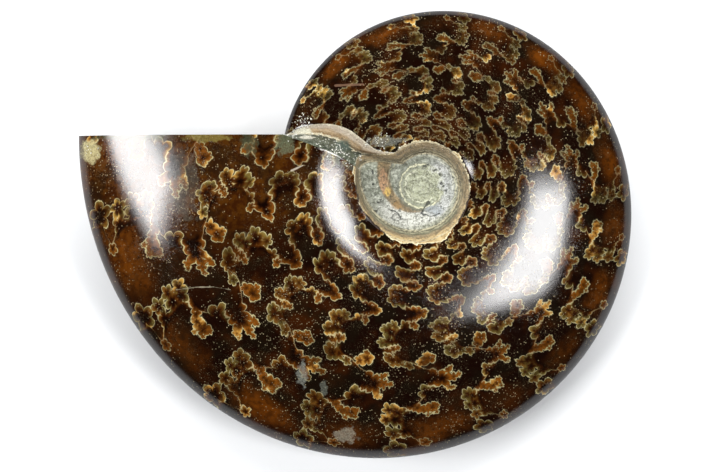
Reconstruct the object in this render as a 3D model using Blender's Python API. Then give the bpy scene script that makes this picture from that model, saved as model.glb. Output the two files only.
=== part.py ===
"""Polished Cleoniceras ammonite, lying on its flank as one closed stone solid.

The shell is a logarithmic spiral. Lengths are in metres and angles in radians. Angles run
anticlockwise about the coil's pole as seen from above, and the shell grows clockwise, so the
angle falls from the start of the last whorl to the sawn mouth.
"""

import math

import bmesh
import bpy
import numpy as np
from mathutils import Vector

# Driving dimensions
LENGTH = 0.100  # over the whole fossil, from the mouth's edge to the far side
VENTER_RADIUS = 0.03906  # pole to outer edge, straight right of the pole
VENTER_GROWTH = 0.1415  # how fast that radius grows, per radian
SHOULDER_RADIUS = 0.00904  # pole to the rim of the umbilicus, straight right of the pole
SHOULDER_GROWTH = 0.080
SEAM_RADIUS = 0.00689  # pole to the foot of the umbilical wall, straight right of the pole
SEAM_GROWTH = 0.146
THICKNESS = 0.0264  # flank to flank at the mouth
CUT_HEIGHT = 0.00904  # how far above the pole, in plan, the mouth is sawn straight across
BROKEN_EDGE = math.radians(142)  # where the broken last whorl laps over the one before it
SEAM_HEIGHT = 0.56  # the seam's height, as a share of the half thickness there
SHOULDER_HEIGHT = 0.84  # the umbilical rim's height, as a share of the same
WIDEST = 0.20  # where across the flank the whorl is thickest
HUB_HEIGHT = 0.0033  # the centre of the umbilicus above the middle plane
BAND_HEIGHT = 0.0008  # the tan shell band on the broken edge stands this proud
SEAM_PULLS = ((-0.0105, 0.0052), (-0.0072, 0.0043))  # where the wall's foot bows at that edge
RIM_PULLS = ((-0.0125, 0.0067), (-0.0087, 0.0054))  # and where its rim does
LEAN = (-0.063, 0.066)  # rise of the middle plane toward +X and +Y, as it lies at rest
SPOT_DEPTH = 0.00018  # how much the flank is worn flat where it rests

# Mesh sizes
COLUMNS = 72  # along the last whorl
WEDGE_COLUMNS = 6  # across the broken edge
FLOOR_ROWS = 5
WALL_ROWS = 2
LAP_ROWS = 4  # across the flank, from the shoulder to the lapped keel
FLANK_ROWS = 9  # from there to the outer edge


def venter(angle):
    """Distance from the pole to the outer edge."""
    wobble = 1 + 0.0162 * np.cos(angle - 3.01) + 0.0083 * np.cos(2 * (angle - 1.3275))
    return VENTER_RADIUS * np.exp(-VENTER_GROWTH * angle) * wobble


def shoulder(angle):
    """Distance from the pole to the rim of the umbilicus."""
    wobble = 1 + 0.037 * np.cos(angle + 3.455)
    return SHOULDER_RADIUS * np.exp(-SHOULDER_GROWTH * angle) * wobble


def seam(angle):
    """Distance from the pole to the foot of the umbilical wall."""
    wobble = 1 + 0.075 * np.cos(angle - 1.827)
    return SEAM_RADIUS * np.exp(-SEAM_GROWTH * angle) * wobble


def mouth_angle(radius):
    """Angle of the sawn mouth at this distance from the pole."""
    return -math.pi - np.arcsin(np.clip(CUT_HEIGHT / radius, -1, 1))


def settle(first_guess, rule):
    """The angle that a slowly changing rule gives back for itself."""
    angle = first_guess
    for _ in range(12):
        angle = rule(angle)
    return angle


KEEL_ANGLE = settle(2.8, lambda a: 2 * math.pi + mouth_angle(venter(a)))
KEEL_RADIUS = float(venter(KEEL_ANGLE))
LAP_ANGLE = KEEL_ANGLE - 2 * math.pi
LAP_SHARE = float((KEEL_RADIUS - shoulder(LAP_ANGLE)) / (venter(LAP_ANGLE) - shoulder(LAP_ANGLE)))
MOUTH_TIP = settle(-3.3, lambda a: mouth_angle(venter(a)))


def half_thickness(angle):
    """Largest half thickness of the whorl at this angle."""
    return THICKNESS / 2 * np.exp(-VENTER_GROWTH * (angle - LAP_ANGLE))


def flank_height(across):
    """Height of the flank, as a share of the half thickness, from shoulder 0 to keel 1."""
    outward = np.clip((across - WIDEST) / (1 - WIDEST), 0, 1)
    inward = np.clip(1 - across / WIDEST, 0, 1)
    return (1 - outward**1.9) ** 0.66 - (1 - SHOULDER_HEIGHT) * inward**2


def start_angle(across):
    """Angle where the bared earlier whorl comes out from under the broken edge."""
    inner = math.radians(12) * np.clip(1 - across / 0.17, 0, 1) ** 2
    outer = np.clip((across - 0.4) / 0.6, 0, 1) ** 1.5
    return BROKEN_EDGE - inner + (KEEL_ANGLE - BROKEN_EDGE) * outer


def end_angle(across):
    """Angle of the sawn mouth, and of the broken edge between it and the umbilicus."""
    curl = math.radians(4.5) * np.clip(1 - across / 0.1, 0, 1) ** 2
    if across <= LAP_SHARE:
        return LAP_ANGLE + curl

    def rule(angle):
        return mouth_angle(shoulder(angle) * (1 - across) + venter(angle) * across)

    return settle(LAP_ANGLE, rule)


def floor_height(x, y):
    """Height of the umbilicus floor: the earlier whorl's flank, its wall and the hub."""
    radius = np.hypot(x, y)
    turn = np.arctan2(y, x)
    turn = np.where(turn > math.radians(124), turn, turn + 2 * math.pi)
    inner_rim = 0.0080 * np.exp(-0.32 * (turn - math.pi))
    wall_width = 0.0036 * np.exp(-0.25 * (turn - math.pi))
    ledge = HUB_HEIGHT + 0.0034 * np.exp(-0.55 * (turn - math.pi))
    drop = np.clip((inner_rim - radius) / wall_width, 0, 1)
    return ledge + (HUB_HEIGHT - ledge) * drop * drop * (3 - 2 * drop)


def bezier(points, share):
    """Plan point on a cubic curve."""
    first, second, third, fourth = [np.array(p) for p in points]
    rest = 1 - share
    outer = first * rest**3 + fourth * share**3
    return outer + 3 * second * rest**2 * share + 3 * third * rest * share**2


def whorl_column(share):
    """Points of one column of the last whorl's upper half, from the floor's middle to the keel."""
    points = []
    angle = start_angle(0) + (end_angle(0) - start_angle(0)) * share
    seam_level = SEAM_HEIGHT * half_thickness(angle)
    for row in range(1, FLOOR_ROWS):
        radius = seam(angle) * row / FLOOR_ROWS
        x, y = radius * math.cos(angle), radius * math.sin(angle)
        level = float(floor_height(x, y))
        join = np.clip((row / FLOOR_ROWS - 0.7) / 0.3, 0, 1)
        points.append((x, y, level + (seam_level - level) * join))
    for row in range(WALL_ROWS):
        climb = row / WALL_ROWS
        radius = seam(angle) + (shoulder(angle) - seam(angle)) * climb
        rise = math.sin(climb * math.pi / 2)
        level = SEAM_HEIGHT + (SHOULDER_HEIGHT - SEAM_HEIGHT) * rise
        height = level * half_thickness(angle)
        points.append((radius * math.cos(angle), radius * math.sin(angle), height))
    for row in range(LAP_ROWS + FLANK_ROWS + 1):
        across = flank_share(row)
        angle = start_angle(across) + (end_angle(across) - start_angle(across)) * share
        radius = shoulder(angle) * (1 - across) + venter(angle) * across
        height = float(half_thickness(angle) * flank_height(across))
        points.append((radius * math.cos(angle), radius * math.sin(angle), height))
    return points


def flank_share(row):
    """Share of the flank's width at this row, closer together toward the keel."""
    if row <= LAP_ROWS:
        return LAP_SHARE * row / LAP_ROWS
    outward = (row - LAP_ROWS) / FLANK_ROWS
    return LAP_SHARE + (1 - LAP_SHARE) * math.sin(outward * math.pi / 2) ** 0.9


def broken_height(high, low, share, along):
    """Height across the broken edge, from the high flank to the low one, with the tan band."""
    fall = np.clip(share / 0.55, 0, 1)
    drop = fall * fall * (3 - 2 * fall)
    drop += (share - drop) * along**4
    band = math.sin(math.pi * np.clip((share - 0.4) / 0.6, 0, 1)) * (1 - along) ** 0.5
    return high + (low - high) * drop + BAND_HEIGHT * band


def wedge_column(share, high_side, low_side):
    """Points of one column between the last whorl's end and the bared earlier whorl."""
    seam_row = FLOOR_ROWS - 1
    rim_row = seam_row + WALL_ROWS
    seam_path = (high_side[seam_row][:2], *SEAM_PULLS, low_side[seam_row][:2])
    rim_path = (high_side[rim_row][:2], *RIM_PULLS, low_side[rim_row][:2])
    points = []
    seam_x, seam_y = bezier(seam_path, share)
    seam_level = high_side[seam_row][2] + (low_side[seam_row][2] - high_side[seam_row][2]) * share
    for row in range(1, FLOOR_ROWS):
        x, y = seam_x * row / FLOOR_ROWS, seam_y * row / FLOOR_ROWS
        level = float(floor_height(x, y))
        join = np.clip((row / FLOOR_ROWS - 0.7) / 0.3, 0, 1)
        points.append((x, y, level + (seam_level - level) * join))
    rim_x, rim_y = bezier(rim_path, share)
    rim_level = broken_height(high_side[rim_row][2], low_side[rim_row][2], share, 0)
    for row in range(WALL_ROWS):
        climb = row / WALL_ROWS
        rise = math.sin(climb * math.pi / 2)
        x = seam_x + (rim_x - seam_x) * climb
        y = seam_y + (rim_y - seam_y) * climb
        points.append((x, y, seam_level + (rim_level - seam_level) * rise))
    points.append((rim_x, rim_y, rim_level))
    for row in range(1, LAP_ROWS + 1):
        along = row / LAP_ROWS
        high = Vector(high_side[rim_row + row])
        low = point_along(low_side[rim_row:], along)
        x, y, _ = high.lerp(low, share)
        fade = (1 - along) ** 2
        straight = Vector(high_side[rim_row]).lerp(Vector(low_side[rim_row]), share)
        x += (rim_x - straight.x) * fade
        y += (rim_y - straight.y) * fade
        points.append((x, y, broken_height(high.z, low.z, share, along)))
    return points


def point_along(points, share):
    """Point at this share of the length of a list of points."""
    path = [Vector(point) for point in points]
    steps = [(far - near).length for near, far in zip(path, path[1:])]
    rest = share * sum(steps)
    for near, far, step in zip(path, path[1:], steps):
        if rest <= step:
            return near.lerp(far, rest / step)
        rest -= step
    return path[-1]


def add_column(mesh, points):
    return [mesh.verts.new(point) for point in points]


def add_strip(mesh, left, right):
    """Quads between two columns of as many vertices."""
    for row in range(len(left) - 1):
        mesh.faces.new((left[row], left[row + 1], right[row + 1], right[row]))


def add_zip(mesh, left, right):
    """Triangles between two columns of different lengths."""
    i = j = 0
    while i < len(left) - 1 or j < len(right) - 1:
        ahead = (i + 1) * (len(right) - 1) <= (j + 1) * (len(left) - 1)
        if ahead and i < len(left) - 1:
            mesh.faces.new((left[i], left[i + 1], right[j]))
            i += 1
        else:
            mesh.faces.new((left[i], right[j + 1], right[j]))
            j += 1


def add_upper_half(mesh):
    """The half above the middle plane, and the columns that the sawn face joins."""
    shares = [column / COLUMNS for column in range(COLUMNS + 1)]
    plans = [whorl_column(share) for share in shares]
    columns = [add_column(mesh, points) for points in plans]
    hub = mesh.verts.new((0, 0, HUB_HEIGHT))
    for left, right in zip(columns[1:], columns):
        add_strip(mesh, left, right)
    wedge = [
        add_column(mesh, wedge_column(step / WEDGE_COLUMNS, plans[-1], plans[0]))
        for step in range(1, WEDGE_COLUMNS)
    ]
    rim_row = FLOOR_ROWS - 1 + WALL_ROWS
    lap_end = rim_row + LAP_ROWS + 1
    ladder = [columns[-1][:lap_end], *wedge]
    for right, left in zip(ladder, ladder[1:]):
        add_strip(mesh, left, right)
    first = columns[0]
    add_strip(mesh, first[: rim_row + 1], ladder[-1][: rim_row + 1])
    add_zip(mesh, first[rim_row:], ladder[-1][rim_row:])
    around = [*columns, *wedge]
    for left, right in zip(around[1:] + around[:1], around):
        mesh.faces.new((hub, left[0], right[0]))
    lap_edge = [column[-1] for column in ladder]
    return columns[-1][lap_end - 1 :], lap_edge, first[-1]


def build_half():
    """A bmesh of the upper half and the three edges that face the saw cut."""
    mesh = bmesh.new()
    mouth, lap_edge, keel = add_upper_half(mesh)
    return mesh, mouth, lap_edge, keel


def build_ammonite():
    """Both halves joined along the keel, closed by the sawn face, leaned and set down."""
    mesh, mouth, lap_edge, keel = build_half()
    for vert in mesh.verts:
        vert.tag = False
    upper = list(mesh.verts)
    lower = {}
    rims = {vert for vert in upper if abs(vert.co.z) < 1e-9}
    for vert in upper:
        low = vert if vert in rims else mesh.verts.new((vert.co.x, vert.co.y, -vert.co.z))
        lower[vert] = low
    for face in list(mesh.faces):
        mesh.faces.new([lower[vert] for vert in reversed(face.verts)])
    for near, far in zip(mouth, mouth[1:]):
        corners = [near, far, lower[far], lower[near]]
        if near is mouth[0]:
            corners = [*lap_edge[:0:-1], near, far, lower[far], lower[near]]
            corners += [lower[vert] for vert in lap_edge[1:]]
            corners.append(keel)
        kept = list(dict.fromkeys(corners))
        mesh.faces.new(kept)
    bmesh.ops.remove_doubles(mesh, verts=mesh.verts, dist=1e-7)
    bmesh.ops.recalc_face_normals(mesh, faces=mesh.faces)
    for vert in mesh.verts:
        vert.co.z += LEAN[0] * vert.co.x + LEAN[1] * vert.co.y
    wear_resting_spot(mesh)
    return mesh


def wear_resting_spot(mesh):
    """Cuts the lowest part of the lower flank flat and sets it down on z = 0."""
    lowest = min(vert.co.z for vert in mesh.verts)
    level = lowest + SPOT_DEPTH
    geometry = mesh.verts[:] + mesh.edges[:] + mesh.faces[:]
    cut = bmesh.ops.bisect_plane(
        mesh, geom=geometry, dist=1e-6, plane_co=(0, 0, level), plane_no=(0, 0, -1), clear_outer=True
    )
    edges = [item for item in cut["geom_cut"] if isinstance(item, bmesh.types.BMEdge)]
    bmesh.ops.contextual_create(mesh, geom=edges)
    bmesh.ops.recalc_face_normals(mesh, faces=mesh.faces)


def centre_on_origin(mesh):
    """Moves the box's bottom centre to the origin and scales the length to size."""
    points = np.array([vert.co for vert in mesh.verts])
    low, high = points.min(axis=0), points.max(axis=0)
    scale = LENGTH / (high[0] - low[0])
    middle = Vector(((low[0] + high[0]) / 2, (low[1] + high[1]) / 2, low[2]))
    for vert in mesh.verts:
        vert.co = (vert.co - middle) * scale


def stone_material():
    """Dark brown polished stone."""
    material = bpy.data.materials.new("polished_fossil_stone")
    material.use_nodes = True
    shader = material.node_tree.nodes["Principled BSDF"]
    shader.inputs["Base Color"].default_value = (0.055, 0.025, 0.012, 1)
    shader.inputs["Roughness"].default_value = 0.12
    shader.inputs["Metallic"].default_value = 0.0
    material.diffuse_color = (0.20, 0.10, 0.05, 1)
    return material


def main():
    for item in list(bpy.data.objects):
        bpy.data.objects.remove(item, do_unlink=True)
    mesh = build_ammonite()
    centre_on_origin(mesh)
    data = bpy.data.meshes.new("ammonite")
    mesh.to_mesh(data)
    mesh.free()
    data.materials.append(stone_material())
    ammonite = bpy.data.objects.new("ammonite", data)
    bpy.context.scene.collection.objects.link(ammonite)


main()
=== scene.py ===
"""Polished Cleoniceras ammonite, lying on its flank under soft studio light.

The last whorl is swept along a logarithmic spiral by Geometry Nodes, then joined to the
umbilicus, the broken edge and the sawn mouth. Its sutures are drawn by the material in the
shell's own coordinates, which each vertex carries.

Lengths are in metres and angles in radians, anticlockwise about the coil's pole from above.
"""

import math
from functools import partialmethod

import bmesh
import bpy
import numpy as np
from bpy.props import FloatProperty, FloatVectorProperty, IntProperty, PointerProperty
from mathutils import Matrix, Vector


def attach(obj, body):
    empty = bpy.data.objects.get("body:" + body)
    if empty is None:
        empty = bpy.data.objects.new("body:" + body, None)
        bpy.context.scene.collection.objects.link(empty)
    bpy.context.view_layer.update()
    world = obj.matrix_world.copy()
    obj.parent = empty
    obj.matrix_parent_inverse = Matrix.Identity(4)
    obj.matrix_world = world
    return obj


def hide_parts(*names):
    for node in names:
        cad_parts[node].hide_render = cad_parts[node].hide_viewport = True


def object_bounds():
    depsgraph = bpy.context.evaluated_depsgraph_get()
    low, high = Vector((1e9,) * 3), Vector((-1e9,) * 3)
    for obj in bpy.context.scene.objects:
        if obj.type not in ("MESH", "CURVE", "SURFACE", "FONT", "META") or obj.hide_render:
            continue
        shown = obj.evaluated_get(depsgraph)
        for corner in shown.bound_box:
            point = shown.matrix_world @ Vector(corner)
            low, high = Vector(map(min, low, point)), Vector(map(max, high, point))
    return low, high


bl_info = {
    "name": "Polished ammonite",
    "version": (1, 0, 0),
    "blender": (4, 5, 0),
    "location": "3D View > Sidebar > Ammonite",
    "description": "Builds a polished fossil ammonite with its sutures, umbilicus and studio",
    "category": "Object",
}

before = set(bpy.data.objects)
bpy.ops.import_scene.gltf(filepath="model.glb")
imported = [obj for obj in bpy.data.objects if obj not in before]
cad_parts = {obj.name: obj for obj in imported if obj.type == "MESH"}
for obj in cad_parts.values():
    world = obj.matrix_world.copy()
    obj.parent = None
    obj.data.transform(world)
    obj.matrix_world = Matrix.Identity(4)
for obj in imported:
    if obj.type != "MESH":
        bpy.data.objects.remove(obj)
CAD_LOW, CAD_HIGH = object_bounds()

# Shape of the coil, as in the part's source
VENTER_WOBBLE = ((0.0162, 3.01), (0.0083, 1.3275))
SHOULDER_WOBBLE = ((0.037, -3.455), (0.0, 0.0))
SEAM_WOBBLE = ((0.075, 1.827), (0.0, 0.0))
CUT_HEIGHT = 0.00904  # how far above the pole, in plan, the mouth is sawn straight across
BROKEN_EDGE = math.radians(142)  # where the broken last whorl laps over the one before it
SEAM_HEIGHT = 0.56  # as a share of the half thickness there
SHOULDER_HEIGHT = 0.84
WIDEST = 0.20  # where across the flank the whorl is thickest
HUB_HEIGHT = 0.0033
BAND_HEIGHT = 0.0008
SEAM_PULLS = ((-0.0105, 0.0052), (-0.0072, 0.0043))
RIM_PULLS = ((-0.0125, 0.0067), (-0.0087, 0.0054))
LEAN = (-0.063, 0.066)
SPOT_DEPTH = 0.00018
MOUTH_ROUNDS = 12  # enough for the mouth's angle to settle
SHARP_ANGLE = math.radians(48)
TO_MILLIMETRES = 1000.0
INNER_START = math.radians(124)  # where the earlier whorl comes out from under the broken edge
FLOOR_ROWS = 26
WALL_ROWS = 12
LAP_ROWS = 14
FLANK_ROWS = 38
WEDGE_COLUMNS = 44

# Where the umbilical rim is chipped or built up: bearing and spread in degrees, reach in millimetres
RIM_CHIPS = (
    (-71, 13, 0.85), (-112, 11, 0.3), (-92, 6, 0.45), (163, 9, 0.5),
    (-176, 10, -0.45), (-144, 12, -0.5), (-30, 13, -0.4), (40, 8, 0.3),
)

# Tips of the lateral lobes, in degrees of growth from the pole's right, oldest first
LOBE_TIPS = (
    -177, -156, -135, -113, -91, -74, -54.5, -36, -15.8, 3.8, 22,
    41.7, 60.5, 77.5, 98, 117, 137, 157, 177, 197, 217,
)
SUTURE_STEP = math.radians(19.8)


class ShellSizes(bpy.types.PropertyGroup):
    """Sizes of the coiled shell."""

    length: FloatProperty(
        name="Length",
        description="Over the whole fossil, from the mouth's edge to the far side",
        default=CAD_HIGH.x - CAD_LOW.x,
        unit="LENGTH",
    )
    thickness: FloatProperty(
        name="Thickness", description="Flank to flank at the mouth", default=0.0264, unit="LENGTH"
    )
    venter_radius: FloatProperty(
        name="Outer radius",
        description="Pole to outer edge, straight right of the pole",
        default=0.03906,
        unit="LENGTH",
    )
    venter_growth: FloatProperty(
        name="Outer growth", description="How fast the outer radius grows, per radian", default=0.1415
    )
    shoulder_radius: FloatProperty(
        name="Umbilical rim radius",
        description="Pole to the rim of the umbilicus, straight right of the pole",
        default=0.00904,
        unit="LENGTH",
    )
    shoulder_growth: FloatProperty(
        name="Umbilical rim growth", description="How fast that radius grows, per radian", default=0.080
    )
    seam_radius: FloatProperty(
        name="Seam radius",
        description="Pole to the foot of the umbilical wall, straight right of the pole",
        default=0.00689,
        unit="LENGTH",
    )
    seam_growth: FloatProperty(
        name="Seam growth", description="How fast that radius grows, per radian", default=0.146
    )
    columns: IntProperty(
        name="Columns", description="Sections along the last whorl", default=340, min=48, max=480
    )


class ShellColours(bpy.types.PropertyGroup):
    """Colours of the stone and of its sutures."""

    dark: FloatVectorProperty(
        name="Chamber", description="Deep stone between sutures",
        subtype="COLOR", default=(0.0044, 0.0009, 0.0002)
    )
    brown: FloatVectorProperty(
        name="Brown", description="Warmer stone round the lobes",
        subtype="COLOR", default=(0.027, 0.0062, 0.0006)
    )
    amber: FloatVectorProperty(
        name="Amber", description="Glow inside the lobes",
        subtype="COLOR", default=(0.120, 0.037, 0.0030)
    )
    olive: FloatVectorProperty(
        name="Olive", description="Stone just inside the suture line",
        subtype="COLOR", default=(0.105, 0.078, 0.018)
    )
    line: FloatVectorProperty(
        name="Suture line", description="The fine line itself",
        subtype="COLOR", default=(0.42, 0.37, 0.20)
    )
    glow: FloatVectorProperty(
        name="Rim glow", description="Clear stone along the outer rim",
        subtype="COLOR", default=(0.115, 0.0300, 0.0018)
    )
    line_width: FloatProperty(
        name="Line width", description="Width of the suture line", default=0.000085, unit="LENGTH"
    )


class Studio(bpy.types.PropertyGroup):
    """Softboxes and light round the fossil."""

    distance: FloatProperty(
        name="Light distance", description="Fossil to each light", default=0.9, unit="LENGTH"
    )
    softbox_light: FloatProperty(
        name="Softbox brightness",
        description="Radiance of both softboxes, in watts for each square metre and steradian",
        default=29.0,
    )
    right_angles: FloatVectorProperty(
        name="Right softbox",
        description="Angles from straight up, to the right and away",
        size=2,
        subtype="EULER",
        default=(math.radians(31.5), math.radians(-10)),
    )
    right_size: FloatVectorProperty(
        name="Right softbox spread", description="Width and height as angles", size=2, subtype="EULER",
        default=(math.radians(16), math.radians(20)),
    )
    left_angles: FloatVectorProperty(
        name="Left softbox",
        description="Angles from straight up, to the right and away",
        size=2,
        subtype="EULER",
        default=(math.radians(-45), math.radians(-7)),
    )
    left_size: FloatVectorProperty(
        name="Left softbox spread", description="Width and height as angles", size=2, subtype="EULER",
        default=(math.radians(14), math.radians(33)),
    )
    left_roll: FloatProperty(
        name="Left softbox roll", description="Turn about its own middle",
        subtype="ANGLE", default=math.radians(45)
    )
    back_light: FloatProperty(
        name="Back light",
        description="Radiance of the broad light beyond the far edge, in the same unit",
        default=10.5,
    )
    back_angles: FloatVectorProperty(
        name="Back light angles",
        description="Angles from straight up, to the right and away",
        size=2,
        subtype="EULER",
        default=(math.radians(4), math.radians(52)),
    )
    back_size: FloatVectorProperty(
        name="Back light spread", description="Width and height as angles", size=2, subtype="EULER",
        default=(math.radians(64), math.radians(34)),
    )
    air_light: FloatProperty(
        name="Air light", description="Even light from all round", default=0.025, min=0.0
    )


class Wiring:
    """Adds nodes to one node tree and links them."""

    def __init__(self, tree):
        self.tree = tree

    def add(self, kind, values=None, **settings):
        node = self.tree.nodes.new(kind)
        for name, value in settings.items():
            setattr(node, name, value)
        for socket, value in (values or {}).items():
            self.feed(node.inputs[socket], value)
        return node

    def feed(self, socket, value):
        if isinstance(value, bpy.types.NodeSocket):
            self.tree.links.new(value, socket)
        elif value is not None:
            socket.default_value = value

    def math(self, operation, *values):
        return self.add("ShaderNodeMath", dict(enumerate(values)), operation=operation).outputs[0]

    # The sums used most: fuse takes value, factor and what is added, and size drops the sign
    plus = partialmethod(math, "ADD")
    minus = partialmethod(math, "SUBTRACT")
    times = partialmethod(math, "MULTIPLY")
    over = partialmethod(math, "DIVIDE")
    fuse = partialmethod(math, "MULTIPLY_ADD")
    most = partialmethod(math, "MAXIMUM")
    least = partialmethod(math, "MINIMUM")
    size = partialmethod(math, "ABSOLUTE")

    def vector(self, operation, *values):
        node = self.add("ShaderNodeVectorMath", dict(enumerate(values)), operation=operation)
        return node.outputs["Value" if operation in ("DISTANCE", "LENGTH", "DOT_PRODUCT") else "Vector"]

    def join(self, x, y, z=0.0):
        return self.add("ShaderNodeCombineXYZ", {0: x, 1: y, 2: z}).outputs[0]

    def split(self, vector):
        return self.add("ShaderNodeSeparateXYZ", {0: vector}).outputs

    def step(self, value, low, high, start=0.0, end=1.0):
        """Smooth change from start to end while the value goes from low to high."""
        node = self.add("ShaderNodeMapRange", interpolation_type="SMOOTHSTEP")
        for socket, item in zip(node.inputs, (value, low, high, start, end)):
            self.feed(socket, item)
        return node.outputs[0]

    def noise(self, vector, scale, detail=2.0, roughness=0.5):
        values = {"Vector": vector, "Scale": scale, "Detail": detail, "Roughness": roughness}
        return self.add("ShaderNodeTexNoise", values).outputs["Fac"]

    def attribute(self, name):
        return self.add("ShaderNodeAttribute", attribute_name=name).outputs["Vector"]

    def mix(self, share, first, second):
        return self.add("ShaderNodeMix", {0: share, 2: first, 3: second}).outputs[0]

    def shade(self, share, first, second):
        """Colour between two colours."""
        node = self.add("ShaderNodeMix", data_type="RGBA")
        for socket, value in ((0, share), (6, first), (7, second)):
            value = (*value, 1) if isinstance(value, tuple) and len(value) == 3 else value
            self.feed(node.inputs[socket], value)
        return node.outputs[2]

    def scaled(self, vector, share):
        """A vector, or a colour, times one number."""
        return self.add("ShaderNodeVectorMath", {0: vector, "Scale": share}, operation="SCALE").outputs[0]

    def group(self, tree, **values):
        kind = "GeometryNodeGroup" if self.tree.bl_idname == "GeometryNodeTree" else "ShaderNodeGroup"
        node = self.add(kind, node_tree=tree)
        for name, value in values.items():
            self.feed(node.inputs[name.replace("_", " ").capitalize()], value)
        return node.outputs

    def close(self, **values):
        """Ends a node group by feeding its outputs, and returns the group."""
        self.add("NodeGroupOutput", values)
        return self.tree


def new_group(name, kind, inputs, outputs):
    """A node group with the named sockets, as its wiring and its inputs."""
    tree = bpy.data.node_groups.new(name, kind)
    for label, (socket, default) in inputs.items():
        item = tree.interface.new_socket(label, in_out="INPUT", socket_type=socket)
        if default is not None:
            item.default_value = default
    for label, socket in outputs.items():
        tree.interface.new_socket(label, in_out="OUTPUT", socket_type=socket)
    wiring = Wiring(tree)
    return wiring, wiring.add("NodeGroupInput").outputs


FLOAT, VECTOR = "NodeSocketFloat", "NodeSocketVector"


def curve_radius(angle, radius, growth, wobble):
    """Distance from the pole to one of the shell's spirals."""
    (first, turn), (second, second_turn) = wobble
    factor = 1 + first * np.cos(angle - turn) + second * np.cos(2 * (angle - second_turn))
    return radius * np.exp(-growth * angle) * factor


class Coil:
    """The spirals and limits of the last whorl, from the chosen sizes."""

    def __init__(self, sizes):
        self.sizes = sizes
        self.keel_angle = 2.8
        for _ in range(MOUTH_ROUNDS):
            self.keel_angle = 2 * math.pi + self.mouth_angle(self.venter(self.keel_angle))
        self.lap_angle = self.keel_angle - 2 * math.pi
        keel_radius = self.venter(self.keel_angle)
        inner = self.shoulder(self.lap_angle)
        self.lap_share = float((keel_radius - inner) / (self.venter(self.lap_angle) - inner))

    def venter(self, angle):
        return curve_radius(angle, self.sizes.venter_radius, self.sizes.venter_growth, VENTER_WOBBLE)

    def shoulder(self, angle):
        return curve_radius(angle, self.sizes.shoulder_radius, self.sizes.shoulder_growth, SHOULDER_WOBBLE)

    def mouth_angle(self, radius):
        return -math.pi - np.arcsin(np.clip(CUT_HEIGHT / radius, -1, 1))

    def start_angle(self, across):
        inner = math.radians(12) * np.clip(1 - across / 0.17, 0, 1) ** 2
        outer = np.clip((across - 0.4) / 0.6, 0, 1) ** 1.5
        return BROKEN_EDGE - inner + (self.keel_angle - BROKEN_EDGE) * outer

    def end_angle(self, across):
        if across <= self.lap_share:
            return self.lap_angle + math.radians(4.5) * np.clip(1 - across / 0.1, 0, 1) ** 2
        angle = self.lap_angle
        for _ in range(MOUTH_ROUNDS):
            radius = self.shoulder(angle) * (1 - across) + self.venter(angle) * across
            angle = self.mouth_angle(radius)
        return angle

    def flank_share(self, row):
        if row <= LAP_ROWS:
            return self.lap_share * row / LAP_ROWS
        outward = (row - LAP_ROWS) / FLANK_ROWS
        return self.lap_share + (1 - self.lap_share) * math.sin(outward * math.pi / 2) ** 0.9


def flank_height(across):
    """Height of the flank, as a share of the half thickness, from shoulder 0 to keel 1."""
    outward = np.clip((across - WIDEST) / (1 - WIDEST), 0, 1)
    inward = np.clip(1 - across / WIDEST, 0, 1)
    return (1 - outward**1.9) ** 0.66 - (1 - SHOULDER_HEIGHT) * inward**2


def inner_turn(x, y):
    """Bearing along the earlier whorl, which starts under the broken edge."""
    turn = np.arctan2(y, x)
    return np.where(turn > INNER_START, turn, turn + 2 * math.pi)


def inner_drop(x, y):
    """How far down the earlier whorl's own umbilical wall a point is, from 0 to 1."""
    turn = inner_turn(x, y)
    inner_rim = 0.0080 * np.exp(-0.32 * (turn - math.pi))
    wall_width = 0.0036 * np.exp(-0.25 * (turn - math.pi))
    return np.clip((inner_rim - np.hypot(x, y)) / wall_width, 0, 1)


def floor_height(x, y):
    """Height of the umbilicus floor: the earlier whorl's flank, its wall and the hub."""
    ledge = HUB_HEIGHT + 0.0034 * np.exp(-0.55 * (inner_turn(x, y) - math.pi))
    drop = inner_drop(x, y)
    return ledge + (HUB_HEIGHT - ledge) * drop * drop * (3 - 2 * drop)


def build_profile(coil):
    """The whorl's section as a row of points, each with its place across and its ends."""
    rows = []
    for row in range(WALL_ROWS):
        climb = row / WALL_ROWS
        level = SEAM_HEIGHT + (SHOULDER_HEIGHT - SEAM_HEIGHT) * math.sin(climb * math.pi / 2)
        rows.append((climb, 0.0, level, coil.start_angle(0), coil.end_angle(0)))
    for row in range(LAP_ROWS + FLANK_ROWS + 1):
        across = coil.flank_share(row)
        rows.append((1.0, across, flank_height(across), coil.start_angle(across), coil.end_angle(across)))
    mesh = bpy.data.meshes.new("whorl_section")
    mesh.from_pydata([(row[1] + row[0] * 0.1, 0, row[2]) for row in rows], [], [])
    for column, name in enumerate(("climb", "across", "level", "start", "end")):
        attribute = mesh.attributes.new(name, "FLOAT", "POINT")
        attribute.data.foreach_set("value", np.array([row[column] for row in rows], np.float32))
    return bpy.data.objects.new("whorl_section", mesh)


def spiral_group():
    """Geometry node group: a wobbling logarithmic spiral's distance from the pole."""
    names = ("Radius", "Growth", "First wobble", "First turn", "Second wobble", "Second turn")
    inputs = {name: (FLOAT, 0.0) for name in ("Angle", *names)}
    wiring, entry = new_group("spiral_distance", "GeometryNodeTree", inputs, {"Distance": FLOAT})
    fading = wiring.math("EXPONENT", wiring.times(wiring.times(entry["Angle"], -1), entry["Growth"]))
    first = wiring.math("COSINE", wiring.minus(entry["Angle"], entry["First turn"]))
    turned = wiring.minus(entry["Angle"], entry["Second turn"])
    second = wiring.math("COSINE", wiring.times(turned, 2))
    wobble = wiring.fuse(first, entry["First wobble"], 1.0)
    wobble = wiring.fuse(second, entry["Second wobble"], wobble)
    distance = wiring.times(wiring.times(entry["Radius"], fading), wobble)
    return wiring.close(Distance=distance)


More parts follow.
